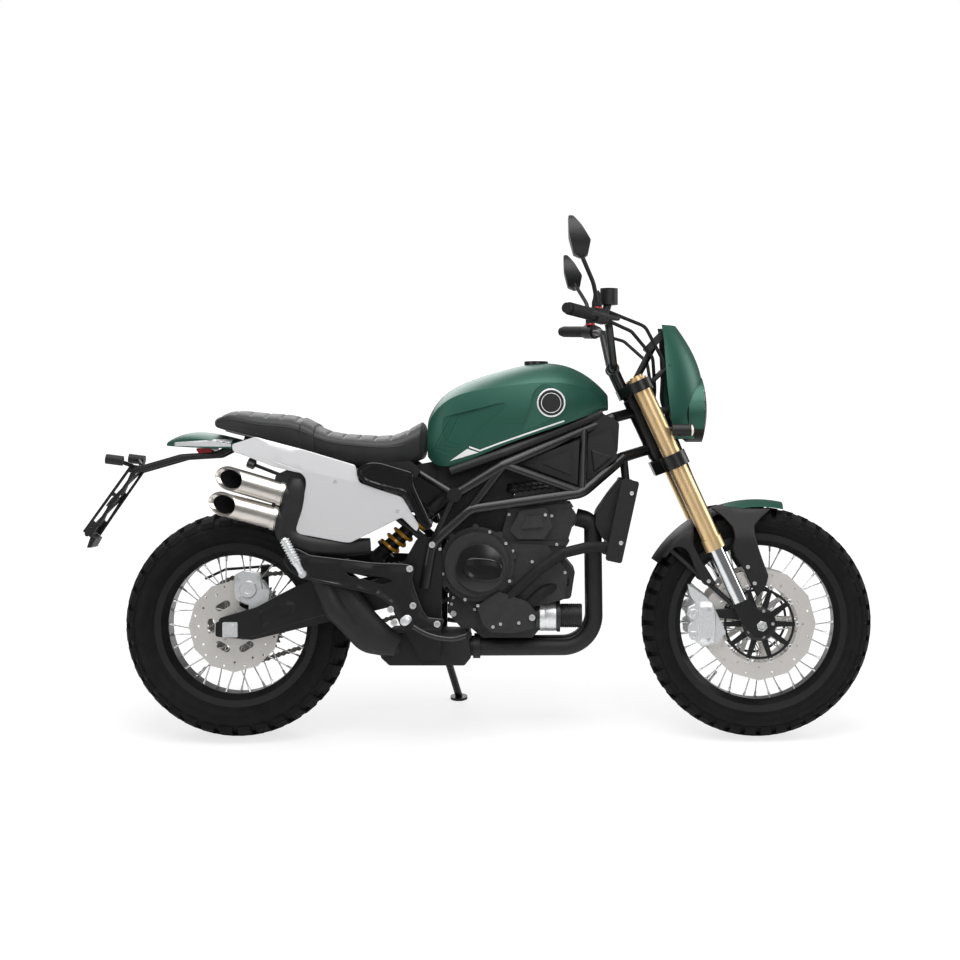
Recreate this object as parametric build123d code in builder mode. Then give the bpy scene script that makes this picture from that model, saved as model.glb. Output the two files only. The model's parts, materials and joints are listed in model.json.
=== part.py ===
"""Scrambler motorcycle, parked on its side stand.

The machine is modelled upright, in its own frame: X forward from the rear axle, Y to the rider's left,
Z up from the ground. The last lines lean every piece over onto the side stand and write the STEP files.
"""

import os
from math import asin, atan2, cos, pi, radians, sin, sqrt, tan

from build123d import *

os.makedirs("parts", exist_ok=True)

# Driving dimensions, millimetres and degrees
WHEELBASE = 1480.0
LEAN = 10.0                  # angle of the parked machine from upright, towards the rider's left
RUN_FIT = 0.05               # radial clearance of a shaft that turns in its bore
SEAT_GAP = 0.3               # clearance between a soft or bolted piece and its seat

# Wheels and tyres
REAR_TYRE_R = 321.0
REAR_TYRE_HALF = 85.0
REAR_RIM_R = 232.0
REAR_RIM_HALF = 58.0
FRONT_TYRE_R = 328.0
FRONT_TYRE_HALF = 60.0
FRONT_RIM_R = 254.0
FRONT_RIM_HALF = 44.0
RIM_FLANGE = 6.0             # thickness of the lips that hold the tyre
RIM_WELL = 16.0              # depth of the tyre's seat below the lip
RIM_DEPTH = 19.0             # seat to the rim's inner face
TYRE_LIP_GAP = 0.4
TREAD_RISE = 0.23            # share of the sidewall that the tread's arc rises
TREAD_SHARE = 0.93           # tread's width as a share of the tyre's
TREAD_DEPTH = 10.0           # height of the tread blocks
TREAD_GROOVE = 8.0           # between the middle blocks and the shoulder blocks
LUG_SHARE = 0.62             # length of a block as a share of the row's pitch
LUG_ROOT = 6.0               # how far a block runs into the carcass
LUG_WRAP = 16.0              # how far a shoulder block runs down the sidewall
LUG_STEP = 3.5               # how far it stands out there
REAR_LUGS = 36               # rows of blocks round the tyre
FRONT_LUGS = 44
SPOKE_COUNT = 36
SPOKE_R = 1.9
SPOKE_CROSS = 1.5            # spokes of one side that a spoke's root is turned past
SPOKE_END_GAP = 0.3
HUB_FLANGE = 7.0
REAR_AXLE_R = 12.5
FRONT_AXLE_R = 12.0
REAR_HUB_R = 32.0
REAR_FLANGE_R = 52.0
REAR_FLANGE_Y = 42.0
FRONT_HUB_R = 27.0
FRONT_FLANGE_R = 44.0
FRONT_FLANGE_Y = 36.0

# Brake discs
DISC_T = 5.0
REAR_DISC_R = 130.0
REAR_DISC_IN_R = 92.0
REAR_DISC_Y = -78.0          # middle of the disc
FRONT_DISC_R = 160.0
FRONT_DISC_IN_R = 109.0
FRONT_DISC_Y = 70.0
DISC_WAVES = 12
DISC_WAVE = 5.0              # height of the wavy edge
DISC_HOLE_R = 3.4
DISC_HOLES = 24              # in two rings

# Final drive, on the left
CHAIN_PITCH = 15.875
CHAIN_Y = 99.0
CHAIN_W = 15.0
CHAIN_H = 15.0
REAR_TEETH = 46
FRONT_TEETH = 16
SPROCKET_T = 6.0
FRONT_SPROCKET_X = 618.0
FRONT_SPROCKET_Z = 446.0
CHAIN_GAP = 0.8              # between the chain's inside and the teeth
LINK_T = 3.0                 # thickness of the side plates
LINK_WAIST = 0.58            # height of a link's waist as a share of its ends
ROLLER_R = 4.6
ROLLER_SIDES = 8

# Fork and steering head
RAKE = 24.9
FORK_HALF = 105.0            # half the distance between the fork legs
LEG_OFFSET = 28.0            # legs ahead of the steering axis
AXLE_LEAD = 24.5             # front axle ahead of the legs
STEM_R = 14.0
HEAD_TUBE_R = 29.0
HEAD_LOW = 548.0             # along the steering axis, from the height of the front axle
HEAD_HIGH = 728.0
LOWER_CLAMP = (500.0, 540.0)
UPPER_CLAMP = (736.0, 766.0)
OUTER_TUBE_R = 26.0
OUTER_TUBE_LOW = 247.0
SLIDER_R = 21.5
FOOT_TOP = 85.0
CLAMP_WALL = 11.0

# Chassis
PIVOT_X = 540.0
PIVOT_Z = 439.0
TRELLIS_R = 15.0
PIVOT_PLATE_Y = (140.0, 154.0)
ARM_Y = (110.0, 138.0)
HUGGER_X = 372.0             # threaded holes for a hugger or chain guard, in the arms' outer faces
HUGGER_Z = 410.0
HUGGER_R = 2.5
HUGGER_DEPTH = 16.0

# Side stand
STAND_PIVOT = Vector(560.0, 176.0, 280.0)
STAND_KNUCKLE_R = 16.0
STAND_KNUCKLE = 24.0         # length of the knuckle along its pin
STAND_PIN_R = 8.0
STAND_LEG_R = 11.0
STAND_FOOT_R = 26.0
STAND_FOOT_T = 8.0
STAND_FOOT_X = 612.0
STAND_FOOT_Y = 322.0
STAND_FOLDED = Vector(-0.97, 0.15, 0.17)   # direction of the leg when it is folded up

# Places that follow from the sizes above
_lean = radians(LEAN)


def crown_radius(radius, rim_r, half):
    """Radius of the arc across a tyre's tread."""
    rise = TREAD_RISE * (radius - rim_r)
    return ((half * TREAD_SHARE) ** 2 + rise ** 2) / (2 * rise)


def axle_height(radius, rim_r, half):
    """Height of an upright wheel's axle that brings the leaning tyre down to the ground plane."""
    return radius + crown_radius(radius, rim_r, half) * (1 / cos(_lean) - 1)


REAR_AXLE_Z = axle_height(REAR_TYRE_R, REAR_RIM_R, REAR_TYRE_HALF)
FRONT_AXLE_Z = axle_height(FRONT_TYRE_R, FRONT_RIM_R, FRONT_TYRE_HALF)
REAR_AXLE = Vector(0, 0, REAR_AXLE_Z)
FRONT_AXLE = Vector(WHEELBASE, 0, FRONT_AXLE_Z)
_rake = radians(RAKE)
FORK_AHEAD = Vector(cos(_rake), 0, sin(_rake))
FORK_UP = Vector(-sin(_rake), 0, cos(_rake))
AXLE_OFFSET = LEG_OFFSET + AXLE_LEAD
STEER_FOOT = FRONT_AXLE - FORK_AHEAD * AXLE_OFFSET
# Frame of the fork: X ahead, Z up along the steering axis, the front axle at Z = 0
FORK = Plane(origin=STEER_FOOT, x_dir=FORK_AHEAD, z_dir=FORK_UP)
FORK_SIDE = Plane(origin=STEER_FOOT, x_dir=FORK_AHEAD, z_dir=(0, -1, 0))
REAR_PITCH_R = CHAIN_PITCH / (2 * sin(pi / REAR_TEETH))
FRONT_PITCH_R = CHAIN_PITCH / (2 * sin(pi / FRONT_TEETH))

pieces = {}


def keep(built, label):
    """Name a finished piece and keep it for the parked pose at the end."""
    built.part.label = label
    pieces[label] = built.part


def bar(start, end, radius, end_radius=None):
    """Round bar, or a cone, between two points."""
    start, end = Vector(*start), Vector(*end)
    run = end - start
    with Locations(Plane(origin=start, z_dir=run)):
        if end_radius is None:
            Cylinder(radius, run.length, align=(Align.CENTER, Align.CENTER, Align.MIN))
        else:
            Cone(radius, end_radius, run.length, align=(Align.CENTER, Align.CENTER, Align.MIN))


def bent_bar(points, radius, bends, mode=Mode.ADD):
    """Round bar along straight runs joined by tangent arcs."""
    with BuildLine() as route:
        FilletPolyline(*points, radius=bends)
    path = route.wires()[0]
    with BuildSketch(Plane(origin=path @ 0, z_dir=path % 0)) as section:
        Circle(radius)
    sweep(sections=section.sketch, path=path, mode=mode)


def slab(points, y_low, y_high, corner=0.0, mode=Mode.ADD, view=Plane.XZ):
    """Flat plate with an outline in the side view, or the fork's own, from y_low to y_high."""
    with BuildSketch(view.offset(-y_high)) as outline:
        with BuildLine():
            Polyline(*points, close=True)
        make_face()
        if corner > 0:
            fillet(outline.vertices(), corner)
    extrude(outline.sketch, amount=y_high - y_low, mode=mode)


def disc_plate(center, radius, y_low, y_high, mode=Mode.ADD):
    """Round plate across the machine."""
    with Locations(Plane(origin=(center[0], y_high, center[1]), z_dir=(0, -1, 0))):
        Cylinder(radius, y_high - y_low, align=(Align.CENTER, Align.CENTER, Align.MIN), mode=mode)


def in_fork(x, y, z):
    """Point given in the fork's frame, as a point of the machine."""
    return FORK.from_local_coords(Vector(x, y, z))


def fork_cylinder(x, y, z_low, z_high, radius, mode=Mode.ADD):
    """Round piece along the fork."""
    with Locations(FORK.location * Pos(x, y, z_low)):
        Cylinder(radius, z_high - z_low, align=(Align.CENTER, Align.CENTER, Align.MIN), mode=mode)


def dome_loft(stations, bulge=0.0):
    """Loft along X of sections with a flat bottom, leaning or bulging sides and an arched top.

    A station is (x, bottom, shoulder, top, half width at the bottom, half width at the shoulder).
    """
    sections = []
    for x, bottom, shoulder, top, half_low, half_high in stations:
        with BuildSketch(Plane.YZ.offset(x)) as section:
            with BuildLine():
                ThreePointArc((-half_high, shoulder), (0, top), (half_high, shoulder))
                if bulge > 0:
                    out = (half_low + half_high) / 2 + bulge
                    middle = (shoulder + bottom) / 2
                    ThreePointArc((half_high, shoulder), (out, middle), (half_low, bottom))
                    Line((half_low, bottom), (-half_low, bottom))
                    ThreePointArc((-half_low, bottom), (-out, middle), (-half_high, shoulder))
                else:
                    Polyline((half_high, shoulder), (half_low, bottom), (-half_low, bottom),
                             (-half_high, shoulder))
            make_face()
        sections.append(section.sketch)
    loft(sections)


def wheel_profile(axle):
    """Plane whose X is the radius and whose Y is the machine's Y, through a wheel's axle."""
    return Plane(origin=axle, x_dir=(1, 0, 0), z_dir=(0, 0, 1))


def wheel_axis(axle):
    """Axis that a wheel turns about."""
    return Axis(axle, (0, 1, 0))


def make_tyre(axle, radius, half, rim_r, rim_half, rows):
    """Tyre on its rim: a carcass, a row of middle blocks and two staggered rows of shoulder blocks."""
    seat_r = rim_r - RIM_WELL
    seat_half = rim_half - RIM_FLANGE
    lip_r = rim_r + TYRE_LIP_GAP
    wide_r = (rim_r + radius) / 2
    edge_r = radius - TREAD_RISE * (radius - rim_r)
    edge_half = half * TREAD_SHARE
    crown = crown_radius(radius, rim_r, half)
    # The leaning machine stands on the groove between the middle and the shoulder blocks
    groove = crown * sin(_lean)
    middle_half = groove - TREAD_GROOVE / 2
    shoulder_in = groove + TREAD_GROOVE / 2

    def tread(y, depth=0.0):
        """Radius and place of a point on the tread's arc, or below it."""
        return (radius - crown + sqrt((crown - depth) ** 2 - y ** 2), y)

    def other_side(points):
        """The same points on the other side of the wheel."""
        return [(r, -y) for r, y in points]

    wall = [(lip_r, seat_half), (lip_r, rim_half), ((lip_r + wide_r) / 2, half - LUG_ROOT), (wide_r, half),
            tread(edge_half - LUG_STEP, TREAD_DEPTH), tread(edge_half * 0.6, TREAD_DEPTH)]
    middle = [tread(-middle_half, TREAD_DEPTH + LUG_ROOT), tread(-middle_half), tread(0), tread(middle_half),
              tread(middle_half, TREAD_DEPTH + LUG_ROOT)]
    shoulder = [tread(shoulder_in, TREAD_DEPTH + LUG_ROOT), tread(shoulder_in),
                tread((shoulder_in + edge_half) / 2), (edge_r, edge_half),
                (edge_r - LUG_WRAP, edge_half + LUG_STEP),
                (edge_r - LUG_WRAP - LUG_ROOT, edge_half - 2 * LUG_ROOT)]
    length = LUG_SHARE * 2 * pi * radius / rows
    with BuildPart() as tyre:
        with BuildSketch(wheel_profile(axle)):
            with BuildLine():
                Polyline((seat_r, seat_half), *wall, tread(0, TREAD_DEPTH), *reversed(other_side(wall)),
                         (seat_r, -seat_half), close=True)
            make_face()
        revolve(axis=wheel_axis(axle))
        for stagger, profile in ((0.0, middle), (0.5, shoulder), (0.5, other_side(shoulder))):
            turns = [2 * pi * (row + stagger) / rows - pi / 2 for row in range(rows)]
            with BuildSketch(*[Plane(origin=axle, x_dir=(cos(a), 0, sin(a)), z_dir=(-sin(a), 0, cos(a)))
                               for a in turns]):
                with BuildLine():
                    Polyline(*[(r, -y) for r, y in profile], close=True)
                make_face()
            extrude(amount=length / 2, both=True)
    return tyre


def make_rim(axle, rim_r, rim_half):
    """Rim with a well between two lips and a rounded inner face."""
    seat_r = rim_r - RIM_WELL
    seat_half = rim_half - RIM_FLANGE
    inner_r = seat_r - RIM_DEPTH
    inner_half = rim_half * 0.55
    with BuildPart() as rim:
        with BuildSketch(wheel_profile(axle)) as section:
            with BuildLine():
                Polyline((inner_r, -inner_half), (seat_r - 3, -rim_half), (rim_r, -rim_half),
                         (rim_r, -seat_half),
                         (seat_r, -seat_half), (seat_r, seat_half), (rim_r, seat_half), (rim_r, rim_half),
                         (seat_r - 3, rim_half), (inner_r, inner_half), close=True)
            make_face()
        revolve(axis=wheel_axis(axle))
    return rim


def make_spokes(axle, rim_r, rim_half, flange_r, flange_y):
    """Crossed wire spokes from the two hub flanges to the rim's inner face."""
    rim_in = rim_r - RIM_WELL - RIM_DEPTH
    rim_y = rim_half * 0.4
    lean = radians(SPOKE_CROSS * 720 / SPOKE_COUNT)
    places = []
    for index in range(SPOKE_COUNT):
        side = 1 if index % 2 else -1
        turn = 1 if (index // 2) % 2 else -1
        angle = 2 * pi / SPOKE_COUNT * index
        root = angle + turn * lean
        out_hub = Vector(cos(root), 0, sin(root))
        out_rim = Vector(cos(angle), 0, sin(angle))
        start = axle + out_hub * flange_r + Vector(0, side * flange_y, 0)
        end = axle + out_rim * rim_in + Vector(0, side * rim_y, 0)
        run = (end - start).normalized()
        # The flat ends stop just short of the flange and the rim
        start += out_hub * (SPOKE_END_GAP + SPOKE_R * sqrt(1 - run.dot(out_hub) ** 2))
        end -= out_rim * (SPOKE_END_GAP + SPOKE_R * sqrt(1 - run.dot(out_rim) ** 2))
        places.append(Plane(origin=start, z_dir=end - start))
        length = (end - start).length
    with BuildPart() as spokes:
        with Locations(*places):
            Cylinder(SPOKE_R, length, align=(Align.CENTER, Align.CENTER, Align.MIN))
    return spokes


def wavy_ring(center, radius, inner, y_low, y_high, waves):
    """Brake ring with a wavy outer edge and two rings of holes."""
    step = 360 / waves
    with BuildSketch(Plane.XZ.offset(-y_high)) as outline:
        with BuildLine():
            for index in range(waves):
                angles = [radians(step * (index + share)) for share in (0, 0.5, 1)]
                radii = (radius, radius - DISC_WAVE, radius)
                ThreePointArc(*[(center[0] + r * cos(a), center[1] + r * sin(a))
                                for r, a in zip(radii, angles)])
        make_face()
        width = radius - DISC_WAVE - inner
        with Locations(center):
            Circle(inner, mode=Mode.SUBTRACT)
            for share, start in ((0.3, 0.0), (0.7, step / 2)):
                with PolarLocations(inner + share * width, DISC_HOLES // 2, start_angle=start):
                    Circle(DISC_HOLE_R, mode=Mode.SUBTRACT)
    extrude(outline.sketch, amount=y_high - y_low)


# Rear wheel: tyre, rim, hub, spokes, disc and sprocket
rear_tyre = make_tyre(REAR_AXLE, REAR_TYRE_R, REAR_TYRE_HALF, REAR_RIM_R, REAR_RIM_HALF, REAR_LUGS)
keep(rear_tyre, "rear_tyre")
rear_rim = make_rim(REAR_AXLE, REAR_RIM_R, REAR_RIM_HALF)
keep(rear_rim, "rear_rim")
rear_spokes = make_spokes(REAR_AXLE, REAR_RIM_R, REAR_RIM_HALF, REAR_FLANGE_R, REAR_FLANGE_Y)
keep(rear_spokes, "rear_spokes")

SPROCKET_Y = (CHAIN_Y - SPROCKET_T / 2, CHAIN_Y + SPROCKET_T / 2)
REAR_HUB_END = CHAIN_Y + SPROCKET_T / 2 + 5
REAR_DISC_SPAN = (REAR_DISC_Y - DISC_T / 2, REAR_DISC_Y + DISC_T / 2)
REAR_HUB_SPAN = (REAR_DISC_SPAN[0] - 5, REAR_HUB_END)
REAR_CENTER = (0.0, REAR_AXLE_Z)
with BuildPart() as rear_hub:
    disc_plate(REAR_CENTER, REAR_HUB_R, *REAR_HUB_SPAN)
    for side in (-1, 1):
        middle = side * REAR_FLANGE_Y
        disc_plate(REAR_CENTER, REAR_FLANGE_R, middle - HUB_FLANGE / 2, middle + HUB_FLANGE / 2)
    # Barrel of the sprocket carrier
    disc_plate(REAR_CENTER, REAR_FLANGE_R - 4, REAR_FLANGE_Y, SPROCKET_Y[0])
    disc_plate(REAR_CENTER, REAR_AXLE_R + RUN_FIT, REAR_HUB_SPAN[0] - 1, REAR_HUB_SPAN[1] + 1,
               mode=Mode.SUBTRACT)
keep(rear_hub, "rear_hub")

with BuildPart() as rear_disc:
    wavy_ring(REAR_CENTER, REAR_DISC_R, REAR_DISC_IN_R, *REAR_DISC_SPAN, DISC_WAVES)
    with BuildSketch(Plane.XZ.offset(-REAR_DISC_SPAN[1])) as spider:
        with Locations(REAR_CENTER):
            Circle(REAR_DISC_IN_R + 1)
            Circle(REAR_HUB_R, mode=Mode.SUBTRACT)
            with PolarLocations(REAR_DISC_IN_R * 0.72, 6):
                SlotOverall(44, 20, rotation=90, mode=Mode.SUBTRACT)
    extrude(spider.sketch, amount=DISC_T)
keep(rear_disc, "rear_disc")

with BuildPart() as rear_sprocket:
    tip_r = REAR_PITCH_R + CHAIN_PITCH * 0.2
    root_r = REAR_PITCH_R - CHAIN_PITCH * 0.3
    with BuildSketch(Plane.XZ.offset(-SPROCKET_Y[1])) as teeth:
        with BuildLine():
            rim_points = []
            for index in range(REAR_TEETH):
                for share, r in ((0.0, root_r), (0.3, root_r), (0.55, tip_r), (0.75, tip_r)):
                    a = 2 * pi * (index + share) / REAR_TEETH
                    rim_points.append((r * cos(a), REAR_AXLE_Z + r * sin(a)))
            Polyline(*rim_points, close=True)
        make_face()
        with Locations(REAR_CENTER):
            Circle(REAR_HUB_R, mode=Mode.SUBTRACT)
            with PolarLocations(REAR_PITCH_R * 0.68, 6):
                Circle(REAR_PITCH_R * 0.17, mode=Mode.SUBTRACT)
    extrude(teeth.sketch, amount=SPROCKET_T)
keep(rear_sprocket, "rear_sprocket")

# Front wheel: tyre, rim, hub, spokes and two discs
front_tyre = make_tyre(FRONT_AXLE, FRONT_TYRE_R, FRONT_TYRE_HALF, FRONT_RIM_R, FRONT_RIM_HALF, FRONT_LUGS)
keep(front_tyre, "front_tyre")
front_rim = make_rim(FRONT_AXLE, FRONT_RIM_R, FRONT_RIM_HALF)
keep(front_rim, "front_rim")
front_spokes = make_spokes(FRONT_AXLE, FRONT_RIM_R, FRONT_RIM_HALF, FRONT_FLANGE_R, FRONT_FLANGE_Y)
keep(front_spokes, "front_spokes")

FRONT_CENTER = (WHEELBASE, FRONT_AXLE_Z)
FRONT_DISC_IN = FRONT_DISC_Y - DISC_T / 2
FRONT_HUB_HALF = FRONT_DISC_Y + DISC_T / 2 + 4
with BuildPart() as front_hub:
    disc_plate(FRONT_CENTER, FRONT_HUB_R, -FRONT_HUB_HALF, FRONT_HUB_HALF)
    for side in (-1, 1):
        middle = side * FRONT_FLANGE_Y
        disc_plate(FRONT_CENTER, FRONT_FLANGE_R, middle - HUB_FLANGE / 2, middle + HUB_FLANGE / 2)
        boss = sorted((side * FRONT_FLANGE_Y, side * FRONT_DISC_IN))
        disc_plate(FRONT_CENTER, FRONT_FLANGE_R - 5, *boss)
    disc_plate(FRONT_CENTER, FRONT_AXLE_R + RUN_FIT, -FRONT_HUB_HALF - 1, FRONT_HUB_HALF + 1,
               mode=Mode.SUBTRACT)
keep(front_hub, "front_hub")

with BuildPart() as front_discs:
    wavy_ring(FRONT_CENTER, FRONT_DISC_R, FRONT_DISC_IN_R, FRONT_DISC_IN, FRONT_DISC_IN + DISC_T, DISC_WAVES)
    with BuildSketch(Plane.XZ.offset(-FRONT_DISC_IN - DISC_T)) as carrier:
        with Locations(FRONT_CENTER):
            Circle(FRONT_FLANGE_R + 8)
            with PolarLocations(FRONT_DISC_IN_R * 0.72, 10):
                Rectangle(FRONT_DISC_IN_R * 0.62, 13)
            Circle(FRONT_HUB_R, mode=Mode.SUBTRACT)
    extrude(carrier.sketch, amount=DISC_T)
    mirror(about=Plane.XZ)
keep(front_discs, "front_discs")

# Side stand: its foot lies on the ground plane, and its pin is square to the leg, down and folded
GROUND_UP = Vector(0, -sin(_lean), cos(_lean))
STAND_FOOT = Vector(STAND_FOOT_X, STAND_FOOT_Y, STAND_FOOT_Y * tan(_lean))
STAND_DOWN = (STAND_FOOT - STAND_PIVOT).normalized()
STAND_AXIS = STAND_DOWN.cross(STAND_FOLDED).normalized()
STAND_RANGE = STAND_DOWN.get_angle(STAND_FOLDED)
with BuildPart() as side_stand:
    half_knuckle = STAND_AXIS * (STAND_KNUCKLE / 2)
    bar(STAND_PIVOT - half_knuckle, STAND_PIVOT + half_knuckle, STAND_KNUCKLE_R)
    bar(STAND_PIVOT, STAND_FOOT + GROUND_UP * STAND_FOOT_T, STAND_LEG_R)
    bar(STAND_FOOT, STAND_FOOT + GROUND_UP * STAND_FOOT_T, STAND_FOOT_R)
    with Locations(Plane(origin=STAND_PIVOT, z_dir=STAND_AXIS)):
        Cylinder(STAND_PIN_R + RUN_FIT, STAND_KNUCKLE * 2, mode=Mode.SUBTRACT)
    # The leg ends on the foot, not below it
    with Locations(Plane(origin=STAND_FOOT, z_dir=-GROUND_UP)):
        Cylinder(STAND_FOOT_R * 2, STAND_FOOT_R, align=(Align.CENTER, Align.CENTER, Align.MIN),
                 mode=Mode.SUBTRACT)
keep(side_stand, "side_stand")

# Trellis frame: head tube, two side trusses, pivot plates and the rails under the saddle
HEAD_TOP = (1068.0, 50.0, 912.0)
HEAD_BOTTOM = (1098.0, 50.0, 800.0)
NODE_A = (761.0, 140.0, 779.0)
NODE_B = (624.0, 146.0, 696.0)
NODE_C = (562.0, 156.0, 561.0)
NODE_E = (979.0, 120.0, 701.0)
NODE_F = (666.0, 146.0, 656.0)
NODE_G = (985.0, 80.0, 876.0)
STRUT_R = 12.0
TIE_R = 9.0
RAIL_R = 11.0
RAIL_FRONT = (520.0, 112.0, 757.5)
RAIL_MIDDLE = (321.0, 112.0, 763.5)
RAIL_REAR = (30.0, 82.0, 853.0)
RAIL_CROSS_X = (60.0, 300.0)


def on_side(side, *points):
    """The same points on the left (side 1) or on the right (side -1)."""
    return [(x, side * y, z) for x, y, z in points]


with BuildPart() as frame:
    for side in (-1, 1):
        # Upper tube to the rails' joint, lower tube to the pivot plate, and the struts between them
        bent_bar(on_side(side, HEAD_TOP, NODE_A, NODE_B), TRELLIS_R, [60])
        bent_bar(on_side(side, HEAD_BOTTOM, NODE_E, NODE_F, NODE_C, (PIVOT_X, NODE_C[1], PIVOT_Z)), TRELLIS_R,
                 [60, 60, 60])
        bar(*on_side(side, NODE_G, NODE_E), STRUT_R)
        bar(*on_side(side, NODE_A, NODE_E), STRUT_R)
        bar(*on_side(side, NODE_A, NODE_F), STRUT_R)
        bar(*on_side(side, NODE_B, NODE_C), TIE_R)
        disc_plate((NODE_B[0], NODE_B[2]), TRELLIS_R + 5,
                   *sorted((side * (NODE_B[1] - 18), side * (NODE_B[1] + 18))))
        # Head lugs, from the head tube out to the truss
        bar(in_fork(0, 0, HEAD_HIGH - 40), *on_side(side, HEAD_TOP), TRELLIS_R)
        bar(in_fork(0, 0, HEAD_LOW + 26), *on_side(side, HEAD_BOTTOM), TRELLIS_R)
        # Pivot plate, down to the footrests and the side stand
        plate_y = sorted((side * PIVOT_PLATE_Y[0], side * PIVOT_PLATE_Y[1]))
        slab([(520, 575), (585, 580), (590, 470), (585, 236), (535, 236), (478, 330), (478, 500)], *plate_y,
             corner=14)
        # Rails under the saddle and the stays that carry them
        bent_bar(on_side(side, NODE_B, RAIL_FRONT, RAIL_MIDDLE, RAIL_REAR), RAIL_R, [50, 90])
        bar(*on_side(side, (548.0, 140.0, 565.0), (300.0, 112.0, 768.0)), RAIL_R)
    for x in RAIL_CROSS_X:
        height = RAIL_REAR[2] + (RAIL_MIDDLE[2] - RAIL_REAR[2]) * (x - RAIL_REAR[0]) / (RAIL_MIDDLE[0] - RAIL_REAR[0])
        half = RAIL_REAR[1] + (RAIL_MIDDLE[1] - RAIL_REAR[1]) * (x - RAIL_REAR[0]) / (RAIL_MIDDLE[0] - RAIL_REAR[0])
        bar((x, -half, height), (x, half, height), RAIL_R)
    bar(*on_side(-1, NODE_B), NODE_B, TRELLIS_R)
    bar((556, -PIVOT_PLATE_Y[0], 342), (556, PIVOT_PLATE_Y[0], 342), TRELLIS_R)
    with Locations(FORK.offset(HEAD_LOW)):
        Cylinder(HEAD_TUBE_R, HEAD_HIGH - HEAD_LOW, align=(Align.CENTER, Align.CENTER, Align.MIN))
        Cylinder(STEM_R + RUN_FIT, HEAD_HIGH - HEAD_LOW, align=(Align.CENTER, Align.CENTER, Align.MIN),
                 mode=Mode.SUBTRACT)
    # Post and pin of the side stand
    stand_root = STAND_PIVOT - STAND_AXIS * (STAND_KNUCKLE / 2 + SEAT_GAP)
    bar(stand_root - STAND_AXIS * 22, stand_root, STAND_KNUCKLE_R)
    bar(stand_root, STAND_PIVOT + STAND_AXIS * (STAND_KNUCKLE / 2 + 5), STAND_PIN_R)
    bar(STAND_PIVOT + STAND_AXIS * (STAND_KNUCKLE / 2 + SEAT_GAP),
        STAND_PIVOT + STAND_AXIS * (STAND_KNUCKLE / 2 + 6),
        STAND_PIN_R + 5)
keep(frame, "frame")

# Engine: crankcase, cylinders and head leaning forward, covers on both sides
CASE_HALF = 84.0
CLUTCH_X = 685.0
CLUTCH_Z = 502.0
CLUTCH_R = 104.0
CLUTCH_OUT = 152.0
ALTERNATOR_X = 790.0
ALTERNATOR_Z = 470.0
ALTERNATOR_R = 84.0
BLOCK_HALF = 104.0
PORT_HALF = 48.0             # exhaust ports, to each side of the middle
PORT_X = 965.0
PORT_Z = 628.0
HEAD_COVER_HALF = BLOCK_HALF - 8
RIB_PITCH = 18.0
FILTER_Y = -58.0
FILTER_Z = 352.0
FILTER_R = 42.0
with BuildPart() as engine:
    # Crankcase, cut back below for the oil filter
    slab([(604, 560), (700, 575), (905, 545), (960, 480), (948, 402), (866, 394), (866, 318), (640, 318),
          (604, 360)],
         -CASE_HALF, CASE_HALF, corner=12)
    # Sump
    slab([(660, 322), (866, 322), (840, 290), (700, 290)], -70, 70)
    # Cylinder block, head and ribbed head cover, leaning forward
    slab([(740, 540), (775, 662), (930, 690), (962, 640), (925, 520)], -BLOCK_HALF, BLOCK_HALF, corner=10)
    slab([(775, 655), (792, 700), (905, 722), (938, 682)], -HEAD_COVER_HALF, HEAD_COVER_HALF, corner=8)
    for step in range(5):
        x = 796 + RIB_PITCH * step
        for side in (-1, 1):
            slab([(x, 660), (x + 6, 660), (x + 12, 702 + step * 3), (x + 6, 702 + step * 3)],
                 *sorted((side * (HEAD_COVER_HALF - 2), side * (HEAD_COVER_HALF + 8))))
    # Joint lines of the cylinder: two flanges round the block
    slab([(742, 552), (746, 564), (944, 566), (936, 552)], -BLOCK_HALF - 5, BLOCK_HALF + 5)
    slab([(768, 644), (772, 655), (948, 672), (956, 660)], -BLOCK_HALF - 5, BLOCK_HALF + 5)
    for side in (-1, 1):
        disc_plate((PORT_X - 30, PORT_Z), 30, *sorted((side * (PORT_HALF - 30), side * (PORT_HALF + 30))))
    # Oil filter, pointing forward, with its cap
    bar((850, FILTER_Y, FILTER_Z), (908, FILTER_Y, FILTER_Z), FILTER_R)
    bar((908, FILTER_Y, FILTER_Z), (918, FILTER_Y, FILTER_Z), FILTER_R + 4)
    bar((918, FILTER_Y, FILTER_Z), (980, FILTER_Y, FILTER_Z), FILTER_R - 9)
keep(engine, "engine")

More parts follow.
